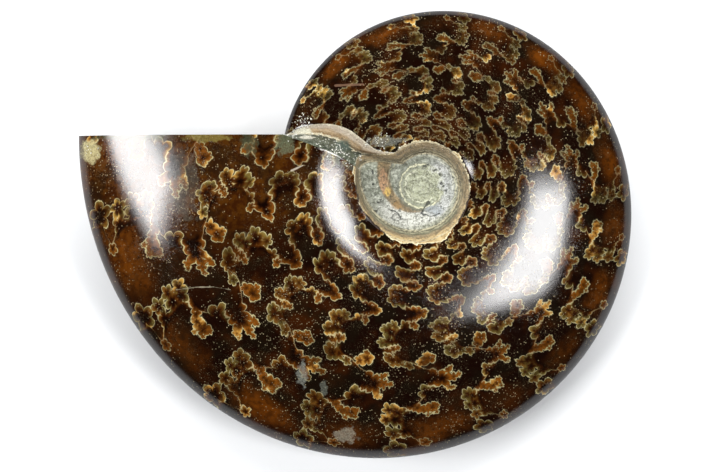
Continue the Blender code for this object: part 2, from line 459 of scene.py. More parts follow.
def sweep_tree():
    """Geometry node tree: sweeps the whorl's section along the coil as a grid of quads."""
    inputs = {
        "Section": ("NodeSocketObject", None),
        "Columns": ("NodeSocketInt", 340),
        "Venter radius": (FLOAT, 0.039),
        "Venter growth": (FLOAT, 0.14),
        "Shoulder radius": (FLOAT, 0.009),
        "Shoulder growth": (FLOAT, 0.08),
        "Seam radius": (FLOAT, 0.007),
        "Seam growth": (FLOAT, 0.146),
        "Half thickness": (FLOAT, 0.0132),
        "Lap angle": (FLOAT, -3.0),
        "Material": ("NodeSocketMaterial", None),
    }
    outputs = {"Geometry": "NodeSocketGeometry"}
    wiring, entry = new_group("sweep_along_coil", "GeometryNodeTree", inputs, outputs)
    section = wiring.add("GeometryNodeObjectInfo", {"Object": entry["Section"]}).outputs["Geometry"]
    rows = wiring.add("GeometryNodeAttributeDomainSize", {"Geometry": section}).outputs["Point Count"]
    values = {"Vertices X": entry["Columns"], "Vertices Y": rows}
    grid = wiring.add("GeometryNodeMeshGrid", values).outputs["Mesh"]
    index = wiring.add("GeometryNodeInputIndex").outputs[0]
    row = wiring.math("FLOORED_MODULO", index, rows)
    column = wiring.math("FLOOR", wiring.over(index, rows))
    share = wiring.over(column, wiring.minus(entry["Columns"], 1))

    def reading(name):
        named = wiring.add("GeometryNodeInputNamedAttribute", {"Name": name}, data_type="FLOAT")
        values = {"Geometry": section, "Value": named.outputs["Attribute"], "Index": row}
        return wiring.add("GeometryNodeSampleIndex", values, data_type="FLOAT").outputs["Value"]

    def between(start, end, part):
        return wiring.fuse(wiring.minus(end, start), part, start)

    def spiral(name, angle, wobble):
        (first, turn), (second, second_turn) = wobble
        return wiring.group(
            spiral_distance,
            angle=angle,
            radius=entry[name + " radius"],
            growth=entry[name + " growth"],
            first_wobble=first,
            first_turn=turn,
            second_wobble=second,
            second_turn=second_turn,
        )["Distance"]

    spiral_distance = spiral_group()
    angle = between(reading("start"), reading("end"), share)
    seam = spiral("Seam", angle, SEAM_WOBBLE)
    shoulder = spiral("Shoulder", angle, SHOULDER_WOBBLE)
    venter = spiral("Venter", angle, VENTER_WOBBLE)
    across = reading("across")
    radius = between(between(seam, shoulder, reading("climb")), venter, across)
    grown = wiring.times(wiring.minus(entry["Lap angle"], angle), entry["Venter growth"])
    half = wiring.times(entry["Half thickness"], wiring.math("EXPONENT", grown))
    x = wiring.times(radius, wiring.math("COSINE", angle))
    y = wiring.times(radius, wiring.math("SINE", angle))
    place = wiring.join(x, y, wiring.times(half, reading("level")))
    mesh = wiring.add("GeometryNodeSetPosition", {"Geometry": grid, "Position": place}).outputs[0]
    for name, value in (("turn", angle), ("across", across)):
        values = {"Geometry": mesh, "Name": name, "Value": value}
        mesh = wiring.add("GeometryNodeStoreNamedAttribute", values, data_type="FLOAT").outputs[0]
    mesh = wiring.add("GeometryNodeRealizeInstances", {"Geometry": mesh}).outputs[0]
    values = {"Geometry": mesh, "Material": entry["Material"]}
    return wiring.close(Geometry=wiring.add("GeometryNodeSetMaterial", values).outputs[0])


def apply_nodes(piece, tree, values):
    """Runs a node tree on an object and returns the result as a plain mesh."""
    modifier = piece.modifiers.new(tree.name, "NODES")
    modifier.node_group = tree
    for item in tree.interface.items_tree:
        if item.in_out == "INPUT" and item.name in values:
            modifier[item.identifier] = values[item.name]
    graph = bpy.context.evaluated_depsgraph_get()
    mesh = bpy.data.meshes.new_from_object(piece.evaluated_get(graph))
    piece.modifiers.remove(modifier)
    return mesh


def read_floats(mesh, name):
    values = np.zeros(len(mesh.vertices), np.float32)
    mesh.attributes[name].data.foreach_get("value", values)
    return values.astype(float)


def sweep_whorl(coil, section, material):
    """The swept upper half as arrays over (column, row): places, angles and shares across."""
    sizes = coil.sizes
    carrier = bpy.data.objects.new("whorl_sweep", bpy.data.meshes.new("whorl_sweep"))
    bpy.context.scene.collection.objects.link(carrier)
    bpy.context.scene.collection.objects.link(section)
    values = {
        "Section": section,
        "Columns": sizes.columns,
        "Half thickness": sizes.thickness / 2,
        "Lap angle": float(coil.lap_angle),
        "Material": material,
    }
    for curve in ("Venter", "Shoulder", "Seam"):
        for measure in ("radius", "growth"):
            values[f"{curve} {measure}"] = getattr(sizes, f"{curve.lower()}_{measure}")
    mesh = apply_nodes(carrier, sweep_tree(), values)
    shape = (sizes.columns, -1)
    places = np.zeros(len(mesh.vertices) * 3, np.float32)
    mesh.vertices.foreach_get("co", places)
    result = (
        places.astype(float).reshape(sizes.columns, -1, 3),
        read_floats(mesh, "turn").reshape(shape),
        read_floats(mesh, "across").reshape(shape),
    )
    bpy.data.objects.remove(carrier)
    bpy.data.objects.remove(section)
    bpy.data.meshes.remove(mesh)
    return result


def bezier(points, share):
    """Plan point on a cubic curve."""
    first, second, third, fourth = [np.array(p) for p in points]
    rest = 1 - share
    outer = first * rest**3 + fourth * share**3
    return outer + 3 * second * rest**2 * share + 3 * third * rest * share**2


def broken_height(high, low, share, along):
    """Height across the broken edge, from the high flank to the low one, with the tan band."""
    fall = np.clip(share / 0.55, 0, 1)
    drop = fall * fall * (3 - 2 * fall)
    drop += (share - drop) * along**4
    band = math.sin(math.pi * np.clip((share - 0.4) / 0.6, 0, 1)) * (1 - along) ** 0.5
    return high + (low - high) * drop + BAND_HEIGHT * band


def point_along(points, share):
    """Point at this share of the length of a row of points."""
    steps = np.linalg.norm(np.diff(points, axis=0), axis=1)
    travel = np.concatenate([[0], np.cumsum(steps)])
    return np.array([np.interp(share * travel[-1], travel, points[:, axis]) for axis in range(3)])


def floor_points(radius_x, radius_y, seam_level):
    """Rows of the umbilicus floor out to the foot of the wall."""
    points = []
    for row in range(1, FLOOR_ROWS):
        x, y = radius_x * row / FLOOR_ROWS, radius_y * row / FLOOR_ROWS
        level = float(floor_height(x, y))
        join = np.clip((row / FLOOR_ROWS - 0.7) / 0.3, 0, 1)
        points.append((x, y, level + (seam_level - level) * join))
    return points


def wedge_column(share, high_side, low_side):
    """Points of one column between the last whorl's end and the bared earlier whorl."""
    seam_row = FLOOR_ROWS - 1
    rim_row = seam_row + WALL_ROWS
    seam_path = (high_side[seam_row][:2], *SEAM_PULLS, low_side[seam_row][:2])
    rim_path = (high_side[rim_row][:2], *RIM_PULLS, low_side[rim_row][:2])
    seam_x, seam_y = bezier(seam_path, share)
    seam_level = high_side[seam_row][2] + (low_side[seam_row][2] - high_side[seam_row][2]) * share
    points = floor_points(seam_x, seam_y, seam_level)
    rim_x, rim_y = bezier(rim_path, share)
    rim_level = broken_height(high_side[rim_row][2], low_side[rim_row][2], share, 0)
    for row in range(WALL_ROWS):
        climb = row / WALL_ROWS
        rise = math.sin(climb * math.pi / 2)
        x = seam_x + (rim_x - seam_x) * climb
        y = seam_y + (rim_y - seam_y) * climb
        points.append((x, y, seam_level + (rim_level - seam_level) * rise))
    points.append((rim_x, rim_y, rim_level))
    straight = high_side[rim_row] + (low_side[rim_row] - high_side[rim_row]) * share
    for row in range(1, LAP_ROWS + 1):
        along = row / LAP_ROWS
        high = high_side[rim_row + row]
        low = point_along(low_side[rim_row:], along)
        x, y, _ = high + (low - high) * share
        fade = (1 - along) ** 2
        x += (rim_x - straight[0]) * fade
        y += (rim_y - straight[1]) * fade
        points.append((x, y, broken_height(high[2], low[2], share, along)))
    return np.array(points)


class ShellMesh:
    """Collects the upper half's points with their shell coordinates, and joins them with faces."""

    def __init__(self):
        self.points = []
        self.shell = []
        self.faces = []
        self.kinds = []

    def add(self, points, turns, shares, rings, lap):
        first = len(self.points)
        self.points.extend(points)
        self.shell.extend(zip(turns, shares, rings, [lap] * len(rings)))
        return list(range(first, len(self.points)))

    def face(self, corners, kind):
        self.faces.append(corners)
        self.kinds.append(kind)

    def strip(self, left, right, kinds):
        for row in range(len(left) - 1):
            self.face((left[row], left[row + 1], right[row + 1], right[row]), kinds(row))

    def zip_up(self, left, right, kind):
        """Triangles between two columns of different lengths."""
        i = j = 0
        while i < len(left) - 1 or j < len(right) - 1:
            ahead = (i + 1) * (len(right) - 1) <= (j + 1) * (len(left) - 1)
            if ahead and i < len(left) - 1:
                self.face((left[i], left[i + 1], right[j]), kind)
                i += 1
            else:
                self.face((left[i], right[j + 1], right[j]), kind)
                j += 1


FLANK, UMBILICUS, BROKEN, SAWN = range(4)


def rings_of(count):
    """Place of each row in the umbilicus: 0 at the hub, 1 at the foot of the wall, 2 at its rim."""
    rows = np.arange(1, count + 1)
    return np.where(rows < FLOOR_ROWS, rows / FLOOR_ROWS, np.clip(1 + (rows - FLOOR_ROWS) / WALL_ROWS, 1, 2))


def join_shell(coil, swept):
    """The upper half of the shell with the broken edge, and the edges along which the sawn mouth closes it.
    """
    places, turns, shares = swept
    shell = ShellMesh()
    rim_row = FLOOR_ROWS - 1 + WALL_ROWS
    columns, plans = [], []
    for place, turn, share in zip(places, turns, shares):
        floor = floor_points(place[0][0], place[0][1], place[0][2])
        plan = np.vstack([floor, place])
        plans.append(plan)
        turn = np.concatenate([np.full(len(floor), turn[0]), turn])
        share = np.concatenate([np.zeros(len(floor)), share])
        columns.append(shell.add(plan, turn, share, rings_of(len(plan)), 0.0 if columns else 1.0))
    hub = shell.add([(0, 0, HUB_HEIGHT)], [0], [0], [0], 0.0)[0]

    def whorl_kind(row):
        return UMBILICUS if row < rim_row else FLANK

    def wedge_kind(row):
        return UMBILICUS if row < rim_row else BROKEN

    for left, right in zip(columns[1:], columns):
        shell.strip(left, right, whorl_kind)
    wedge = []
    for step in range(1, WEDGE_COLUMNS):
        plan = wedge_column(step / WEDGE_COLUMNS, plans[-1], plans[0])
        across = np.linspace(0, 0.4, len(plan))
        wedge.append(shell.add(plan, np.zeros(len(plan)), across, rings_of(len(plan)), step / WEDGE_COLUMNS))
    lap_end = rim_row + LAP_ROWS + 1
    ladder = [columns[-1][:lap_end], *wedge]
    for right, left in zip(ladder, ladder[1:]):
        shell.strip(left, right, wedge_kind)
    first = columns[0]
    shell.strip(first[: rim_row + 1], ladder[-1][: rim_row + 1], wedge_kind)
    shell.zip_up(first[rim_row:], ladder[-1][rim_row:], BROKEN)
    around = [*columns, *wedge]
    for left, right in zip(around[1:] + around[:1], around):
        shell.face((hub, left[0], right[0]), UMBILICUS)
    mouth = columns[-1][lap_end - 1 :]
    lap_edge = [column[-1] for column in ladder] + [first[-1]]
    return shell, mouth, lap_edge


def mirror_and_close(shell, mouth, lap_edge):
    """Vertex arrays and faces of both halves with the sawn face between them."""
    points = np.array(shell.points)
    coordinates = np.array(shell.shell)
    on_plane = np.abs(points[:, 2]) < 1e-7
    low = np.where(on_plane, np.arange(len(points)), 0)
    below = np.flatnonzero(~on_plane)
    low[below] = len(points) + np.arange(len(below))
    all_points = np.vstack([points, points[below] * (1, 1, -1)])
    all_coordinates = np.vstack([coordinates, coordinates[below]])
    faces = list(shell.faces)
    kinds = list(shell.kinds)
    for face, kind in zip(shell.faces, shell.kinds):
        faces.append(tuple(int(low[corner]) for corner in reversed(face)))
        kinds.append(kind)
    for edge in (mouth, lap_edge):
        for near, far in zip(edge, edge[1:]):
            corners = list(dict.fromkeys((near, far, int(low[far]), int(low[near]))))
            faces.append(tuple(corners))
            kinds.append(SAWN)
    return all_points, all_coordinates, faces, kinds


def arc_shares():
    """Share across against the distance along the section, in whorl heights."""
    across = np.linspace(0, 1, 200)
    height = 0.27 * flank_height(across)
    steps = np.hypot(np.diff(across), np.diff(height))
    return across, np.concatenate([[0], np.cumsum(steps)])


def settle_on_floor(points, length):
    """Leans the coil as it lies at rest, wears its resting spot and scales it to length."""
    placed = points.copy()
    placed[:, 2] += LEAN[0] * points[:, 0] + LEAN[1] * points[:, 1]
    level = placed[:, 2].min() + SPOT_DEPTH
    placed[:, 2] = np.maximum(placed[:, 2], level)
    low, high = placed.min(axis=0), placed.max(axis=0)
    middle = np.array([(low[0] + high[0]) / 2, (low[1] + high[1]) / 2, low[2]])
    return (placed - middle) * length / (high[0] - low[0])


def store_vectors(mesh, name, values):
    attribute = mesh.attributes.new(name, "FLOAT_VECTOR", "POINT")
    attribute.data.foreach_set("vector", values.astype(np.float32).ravel())


def build_ammonite(sizes, materials):
    """The finished fossil as one closed mesh object at the origin."""
    coil = Coil(sizes)
    swept = sweep_whorl(coil, build_profile(coil), materials[FLANK])
    shell, mouth, lap_edge = join_shell(coil, swept)
    points, coordinates, faces, kinds = mirror_and_close(shell, mouth, lap_edge)
    mesh = bpy.data.meshes.new("ammonite_shell")
    mesh.from_pydata(settle_on_floor(points, sizes.length), [], faces)
    for material in materials:
        mesh.materials.append(material)
    mesh.polygons.foreach_set("material_index", kinds)
    turn, across = coordinates[:, 0], coordinates[:, 1]
    chamber = np.interp(-np.degrees(turn), LOBE_TIPS, np.arange(len(LOBE_TIPS)))
    share, arc = arc_shares()
    arc = np.interp(across, share, arc)
    whorl = coil.venter(turn) - coil.shoulder(turn)
    store_vectors(mesh, "coil", np.stack([chamber, arc, whorl * TO_MILLIMETRES], axis=1))
    store_vectors(mesh, "plan", points * TO_MILLIMETRES)
    drop = np.where(coordinates[:, 2] < 1, inner_drop(points[:, 0], points[:, 1]), 0)
    store_vectors(mesh, "umbilicus", np.stack([coordinates[:, 2], drop, coordinates[:, 3]], axis=1))
    work = bmesh.new()
    work.from_mesh(mesh)
    bmesh.ops.recalc_face_normals(work, faces=work.faces)
    for face in work.faces:
        face.smooth = True
    work.to_mesh(mesh)
    work.free()
    mesh.set_sharp_from_angle(angle=SHARP_ANGLE)
    ammonite = bpy.data.objects.new("ammonite_shell", mesh)
    bpy.context.scene.collection.objects.link(ammonite)
    return ammonite


STONE_BRIGHTNESS = 0.76  # of the colours given for every stone


def new_material(name):
    material = bpy.data.materials.new(name)
    material.use_nodes = True
    wiring = Wiring(material.node_tree)
    return material, wiring, material.node_tree.nodes["Principled BSDF"].inputs


def finish_stone(wiring, shader, colour, roughness, height=None, strength=0.0, distance=0.0):
    """Feeds a stone's colour, roughness and, where a height is given, its fine relief."""
    wiring.feed(shader["Base Color"], wiring.scaled(colour, STONE_BRIGHTNESS))
    wiring.feed(shader["Roughness"], roughness)
    if height is not None:
        values = {"Height": height, "Strength": strength, "Distance": distance}
        wiring.feed(shader["Normal"], wiring.add("ShaderNodeBump", values).outputs[0])


def patch_mask(wiring, patches, place, centre, reach, ragged):
    """Mask of one ragged oval, given in millimetres from the pole."""
    return wiring.group(patches, place=place, centre=(*centre, 0), reach=(*reach, 1), ragged=ragged)["Mask"]


def lay_patches(wiring, colour, patches, table, place, fine, share):
    """Colour under ragged patches; share turns a strength into the fine grain's slope and base."""
    for centre, reach, ragged, tone, strength in table:
        mask = patch_mask(wiring, patches, place, centre, reach, ragged)
        slope, base = share(strength)
        mask = wiring.times(mask, wiring.fuse(fine, slope, base))
        colour = wiring.shade(mask, colour, tone)
    return colour


# One suture in its own place: degrees ahead of its lateral lobe's tip, share across, radius.
# Rounded folioles of the saddles point to the mouth, and fingers of the lobes point away.
FOLIOLES = (
    (17.5, 1.005, 0.040), (15.6, 0.912, 0.027), (18.4, 0.912, 0.026), (18.0, 0.842, 0.029),
    (19.9, 0.842, 0.024), (18.2, 0.798, 0.028), (19.8, 0.787, 0.025), (10.3, 0.722, 0.036),
    (16.0, 0.578, 0.017), (19.4, 0.554, 0.022), (21.4, 0.553, 0.026), (22.8, 0.540, 0.019),
    (24.0, 0.465, 0.025), (26.0, 0.472, 0.019), (24.5, 0.418, 0.026), (26.5, 0.416, 0.019),
    (23.4, 0.388, 0.018), (18.2, 0.393, 0.021), (21.0, 0.275, 0.026), (24.8, 0.273, 0.026),
    (25.6, 0.238, 0.024), (22.0, 0.240, 0.028), (24.6, 0.155, 0.026), (22.0, 0.155, 0.024),
    (24.0, 0.068, 0.024), (21.0, 0.068, 0.022),
)
FINGERS = (
    (11.0, 0.985, 0.020), (12.4, 0.799, 0.018), (11.2, 0.802, 0.018), (9.9, 0.803, 0.022),
    (8.5, 0.794, 0.012), (8.7, 0.828, 0.010), (10.8, 0.836, 0.010), (15.3, 0.768, 0.018),
    (13.8, 0.783, 0.018), (8.2, 0.656, 0.034), (6.0, 0.666, 0.034), (4.3, 0.714, 0.013),
    (3.2, 0.722, 0.008), (3.0, 0.668, 0.017), (1.2, 0.670, 0.011), (4.1, 0.629, 0.014),
    (2.9, 0.622, 0.009), (10.0, 0.552, 0.023), (8.8, 0.549, 0.012), (10.7, 0.529, 0.013),
    (12.2, 0.562, 0.019), (23.6, 0.500, 0.009), (21.6, 0.492, 0.013), (20.0, 0.486, 0.011),
    (15.4, 0.388, 0.014), (14.7, 0.398, 0.009), (15.5, 0.335, 0.026), (12.6, 0.336, 0.022),
    (10.7, 0.335, 0.012), (16.5, 0.206, 0.022), (14.6, 0.209, 0.012), (16.6, 0.108, 0.018),
    (14.8, 0.108, 0.011), (17.0, 0.012, 0.016),
)
# Where the suture runs between them: share across, degrees ahead
MIDLINE = (
    (0.0, 17.5), (0.015, 17), (0.04, 18.5), (0.07, 21.5), (0.09, 18), (0.108, 16), (0.13, 19), (0.155, 22),
    (0.18, 18.5), (0.205, 16), (0.225, 20), (0.25, 23.2), (0.275, 22.5), (0.31, 17), (0.335, 13),
    (0.36, 15), (0.38, 16.5), (0.395, 20), (0.42, 23.3), (0.465, 23.3), (0.5, 22), (0.54, 20),
    (0.56, 15.5), (0.6, 11), (0.625, 8.5), (0.66, 7.5), (0.7, 9.3), (0.722, 10.3), (0.755, 13),
    (0.785, 16.2), (0.842, 17.2), (0.912, 16), (0.945, 14), (0.985, 12), (1.01, 16), (1.12, 15),
)
PETAL_DEPTH = 0.80  # how deep the clefts between petals cut, in radii
PETAL_TIP = 1.44  # how far a petal reaches, in radii
HALF_PETALS = 2.5  # half the petals of a rosette
PETAL_SWING = 0.7  # how far each rosette is turned its own way
ROSETTE_BLEND = 0.014  # over how many whorl heights two rosettes flow together
GLOW_FADE = 0.026  # how far past a rosette's edge its glow dies away, in whorl heights
OUTERMOST = 1.12  # share across where the middle line ends, past the keel
MIDLINE_SLOPE = 0.75  # turns distance along the whorl into distance square to the slanting line
POLE_REACH = 0.27  # pole to umbilical rim, in whorl heights


def suture_place(degrees, across):
    """A point beside a suture as (ahead, across), both in whorl heights."""
    return (math.radians(degrees) * (across + POLE_REACH), across, 0.0)


def petal_edge(wiring, ahead, across, centre, radius, turn):
    """Distance from the edge of one rosette of petals parted by narrow clefts."""
    x = wiring.minus(ahead, centre[0])
    y = wiring.minus(across, centre[1])
    bearing = wiring.fuse(wiring.math("ARCTAN2", y, x), HALF_PETALS, turn)
    petal = wiring.math("SQRT", wiring.size(wiring.math("COSINE", bearing)))
    reach = wiring.fuse(petal, PETAL_DEPTH, PETAL_TIP - PETAL_DEPTH)
    away = wiring.math("SQRT", wiring.fuse(x, x, wiring.times(y, y)))
    return wiring.minus(wiring.over(away, reach), radius)


def one_suture_group(name, low, high):
    """Shader group: signed distance from one suture between two bearings, and from its frills."""
    inputs = {"Place": (VECTOR, None), "Carve": (FLOAT, 0.0), "Scallop": (FLOAT, 0.0)}
    outputs = dict.fromkeys(("Distance", "Foliole", "Finger", "Middle"), FLOAT)
    wiring, entry = new_group(name, "ShaderNodeTree", inputs, outputs)
    ahead, across, _ = wiring.split(entry["Place"])

    def nearest(discs, facing):
        best = None
        for degrees, share, radius in discs:
            if low < degrees < high:
                turn = facing + PETAL_SWING * math.sin(31 * degrees + 50 * share)
                edge = petal_edge(wiring, ahead, across, suture_place(degrees, share), radius, turn)
                best = edge if best is None else wiring.math("SMOOTH_MIN", best, edge, ROSETTE_BLEND)
        return best

    curve = wiring.add("ShaderNodeFloatCurve", {"Value": wiring.over(across, OUTERMOST)})
    points = curve.mapping.curves[0].points
    while len(points) < len(MIDLINE):
        points.new(0.5, 0.5)
    for point, (share, degrees) in zip(points, MIDLINE):
        point.location = (share / OUTERMOST, suture_place(degrees, share)[0])
        point.handle_type = "AUTO_CLAMPED"
    curve.mapping.update()
    middle = wiring.times(wiring.minus(ahead, curve.outputs[0]), MIDLINE_SLOPE)
    foliole = wiring.plus(nearest(FOLIOLES, 0.0), entry["Carve"])
    finger = wiring.plus(nearest(FINGERS, math.pi / 2), entry["Carve"])
    distance = wiring.least(wiring.plus(middle, entry["Scallop"]), foliole)
    distance = wiring.most(distance, wiring.times(finger, -1))
    return wiring.close(Distance=distance, Foliole=foliole, Finger=finger, Middle=middle)


def sutures_group():
    """Shader group: the suture lines and the glow inside their frills, in the shell's coordinates."""
    inputs = {
        "Coil": (VECTOR, None),
        "Line width": (FLOAT, 0.3),
        "Frill size": (FLOAT, 0.015),
        "Frill depth": (FLOAT, 0.22),
        "Drift": (FLOAT, 0.03),
    }
    outputs = dict.fromkeys(("Line", "Glow", "Lobe", "Inward", "Depth", "Chamber", "Ahead"), FLOAT)
    wiring, entry = new_group("sutures", "ShaderNodeTree", inputs, outputs)
    phase, across, height = wiring.split(entry["Coil"])
    number = wiring.math("FLOOR", wiring.plus(phase, 0.12))
    reach = wiring.plus(across, POLE_REACH)
    halves = (one_suture_group("suture_rear", -5, 22.5), one_suture_group("suture_front", 13.5, 40))
    results = []
    for back, half in enumerate(halves):
        chamber = wiring.minus(number, float(back))
        behind = wiring.minus(phase, chamber)
        ahead = wiring.times(wiring.times(behind, SUTURE_STEP), reach)
        place = wiring.join(ahead, across, wiring.times(chamber, 7.3))
        values = {"Vector": place, "Scale": 5.5, "Detail": 3.0}
        sway = wiring.add("ShaderNodeTexNoise", values).outputs["Color"]
        sway = wiring.vector("MULTIPLY", wiring.vector("SUBTRACT", sway, (0.5, 0.5, 0.5)), (1, 1, 0))
        sway = wiring.scaled(sway, wiring.times(entry["Drift"], 2.0))
        moved = wiring.vector("ADD", wiring.join(ahead, across), sway)
        apart = wiring.fuse(chamber, 3.7, ahead)
        values = {"Vector": wiring.join(apart, across)}
        cells = wiring.add("ShaderNodeTexVoronoi", values, voronoi_dimensions="2D")
        wiring.feed(cells.inputs["Scale"], wiring.over(1.0, entry["Frill size"]))
        hollow = wiring.minus(cells.outputs["Distance"], 0.42)
        finer = wiring.times(wiring.step(phase, 10.2, 12.5), wiring.step(across, 0.56, 0.68))
        finer = wiring.fuse(wiring.times(finer, wiring.step(phase, 17.2, 16.0)), 0.7, 1.0)
        depth = wiring.times(wiring.times(entry["Frill size"], entry["Frill depth"]), finer)
        carve = wiring.times(hollow, depth)
        scallop = wiring.times(carve, 1.6)
        suture = wiring.group(half, place=moved, carve=carve, scallop=scallop)
        distance = suture["Distance"]
        ahead_side = wiring.math("GREATER_THAN", distance, 0.0)
        foliole = wiring.step(suture["Foliole"], GLOW_FADE, -0.002)
        finger = wiring.step(suture["Finger"], GLOW_FADE, -0.002)
        glow = wiring.mix(ahead_side, foliole, finger)
        turned = wiring.fuse(ahead_side, 2.0, -1.0)
        inward = wiring.step(wiring.times(suture["Middle"], turned), -0.045, 0.05)
        glow = wiring.times(glow, wiring.step(inward, 1.0, 0.75))
        depth = wiring.times(wiring.size(distance), height)
        results.append((depth, glow, ahead_side, inward))
    (first, *first_rest), (second, *second_rest) = results
    nearer = wiring.math("LESS_THAN", first, second)
    depth = wiring.least(first, second)
    rest = zip(first_rest, second_rest)
    glow, lobe, inward = (wiring.mix(nearer, far, near) for near, far in rest)
    core = wiring.times(entry["Line width"], 0.5)
    line = wiring.step(depth, core, wiring.times(core, 3.2), 1.0, 0.0)
    behind = wiring.times(wiring.minus(phase, number), math.degrees(SUTURE_STEP))
    return wiring.close(
        Line=line, Glow=glow, Lobe=lobe, Inward=inward, Depth=depth, Chamber=number, Ahead=behind
    )


def specks_group():
    """Shader group: scattered grains, sharper than the noise that gathers them."""
    inputs = {"Place": (VECTOR, None), "Spacing": (FLOAT, 0.4), "Size": (FLOAT, 0.25), "Share": (FLOAT, 0.3)}
    wiring, entry = new_group("specks", "ShaderNodeTree", inputs, {"Mask": FLOAT})
    values = {"Vector": entry["Place"], "Scale": wiring.over(1.0, entry["Spacing"])}
    cells = wiring.add("ShaderNodeTexVoronoi", values, feature="F1")
    chance = wiring.split(cells.outputs["Color"])[0]
    kept = wiring.math("LESS_THAN", chance, entry["Share"])
    grain = wiring.step(cells.outputs["Distance"], wiring.times(entry["Size"], 0.5), entry["Size"], 1.0, 0.0)
    return wiring.close(Mask=wiring.times(grain, kept))


def scratch_group():
    """Shader group: a straight fine mark between two points."""
    inputs = {name: (VECTOR, None) for name in ("Place", "Start", "End")}
    inputs["Width"] = (FLOAT, 0.1)
    wiring, entry = new_group("scratch", "ShaderNodeTree", inputs, {"Mask": FLOAT})
    run = wiring.vector("SUBTRACT", entry["End"], entry["Start"])
    gap = wiring.vector("MULTIPLY", wiring.vector("SUBTRACT", entry["Place"], entry["Start"]), (1, 1, 0))
    share = wiring.over(wiring.vector("DOT_PRODUCT", gap, run), wiring.vector("DOT_PRODUCT", run, run))
    share = wiring.add("ShaderNodeClamp", {0: share}).outputs[0]
    along = wiring.scaled(run, share)
    away = wiring.vector("DISTANCE", gap, along)
    wiggle = wiring.times(wiring.minus(wiring.noise(entry["Place"], 0.5, 2.0), 0.5), 0.5)
    away = wiring.size(wiring.plus(away, wiggle))
    mask = wiring.step(away, wiring.times(entry["Width"], 0.4), entry["Width"], 1.0, 0.0)
    return wiring.close(Mask=mask)


def patch_group():
    """Shader group: a ragged oval patch on one flank."""
    inputs = {name: (VECTOR, None) for name in ("Place", "Centre", "Reach")}
    inputs["Ragged"] = (FLOAT, 0.5)
    wiring, entry = new_group("ragged_patch", "ShaderNodeTree", inputs, {"Mask": FLOAT})
    gap = wiring.vector("DIVIDE", wiring.vector("SUBTRACT", entry["Place"], entry["Centre"]), entry["Reach"])
    away = wiring.vector("LENGTH", wiring.vector("MULTIPLY", gap, (1, 1, 0)))
    torn = wiring.minus(wiring.noise(entry["Place"], 0.9, 4.0, 0.6), 0.5)
    away = wiring.fuse(torn, wiring.times(entry["Ragged"], 3.0), away)
    mask = wiring.step(away, wiring.fuse(entry["Ragged"], 0.5, 0.4), 1.1, 1.0, 0.0)
    top = wiring.math("GREATER_THAN", wiring.split(entry["Place"])[2], 0.0)
    return wiring.close(Mask=wiring.times(mask, top))


def chips_group():
    """Shader group: how far the umbilical rim stands out past its smooth line, in millimetres."""
    wiring, entry = new_group("rim_chips", "ShaderNodeTree", {"Place": (VECTOR, None)}, {"Reach": FLOAT})
    x, y, _ = wiring.split(entry["Place"])
    around = wiring.math("ARCTAN2", y, x)
    ragged = wiring.minus(wiring.noise(entry["Place"], 0.8, 4.0, 0.65), 0.48)
    reach = wiring.times(ragged, 1.5)
    for bearing, spread, height in RIM_CHIPS:
        gap = wiring.size(wiring.minus(around, math.radians(bearing)))
        bump = wiring.step(gap, math.radians(spread) * 0.5, math.radians(spread) * 1.4, height, 0.0)
        reach = wiring.plus(reach, bump)
    return wiring.close(Reach=reach)


# Marks on the upper flank: place from the pole in millimetres, reach, raggedness, colour, strength
FLANK_PATCHES = (
    ((-59.7, 6.2), (1.9, 2.6), 0.35, (0.42, 0.37, 0.19), 1.0),
    ((-31.0, 7.4), (1.7, 2.2), 0.6, (0.040, 0.046, 0.024), 0.85),
    ((-24.6, 7.4), (1.9, 2.2), 0.6, (0.095, 0.105, 0.060), 0.85),
    ((-38.5, 8.6), (4.5, 0.9), 0.6, (0.15, 0.12, 0.03), 0.8),
    ((-52.0, 8.8), (8.0, 0.7), 0.6, (0.030, 0.035, 0.012), 0.9),
    ((-15.6, 5.6), (1.5, 1.7), 0.8, (0.17, 0.19, 0.14), 0.6),
    ((-12.6, 4.3), (1.8, 1.4), 0.8, (0.10, 0.11, 0.085), 0.6),
    ((-6.6, 8.1), (3.4, 0.8), 0.9, (0.22, 0.22, 0.18), 0.6),
    # partly dust, partly painted sheen: pale haze beside the left highlight, where pits would reflect the
    # softbox
    ((-42.5, 0.0), (2.6, 6.5), 0.9, (0.12, 0.115, 0.09), 0.25),
    ((-13.6, -45.2), (2.2, 1.5), 0.6, (0.36, 0.33, 0.25), 0.5),
    ((-21.6, -33.8), (0.9, 2.6), 0.6, (0.20, 0.21, 0.18), 0.6),
    ((-17.7, -36.6), (0.7, 1.4), 0.6, (0.14, 0.15, 0.12), 0.5),
)
# Scratches and cracks: two ends, width, colour
FLANK_SCRATCHES = (
    ((-44.2, -18.75), (-40.6, -18.25), 0.085, (0.20, 0.18, 0.12)),
    ((-40.6, -18.25), (-37.4, -18.2), 0.10, (0.30, 0.27, 0.19)),
    ((-37.4, -18.2), (-34.4, -18.7), 0.08, (0.20, 0.18, 0.12)),
    ((-15.6, 18.1), (-10.6, 18.3), 0.25, (0.14, 0.08, 0.05)),
    ((-23.4, 2.6), (-21.4, 3.5), 0.2, (0.45, 0.40, 0.32)),
)


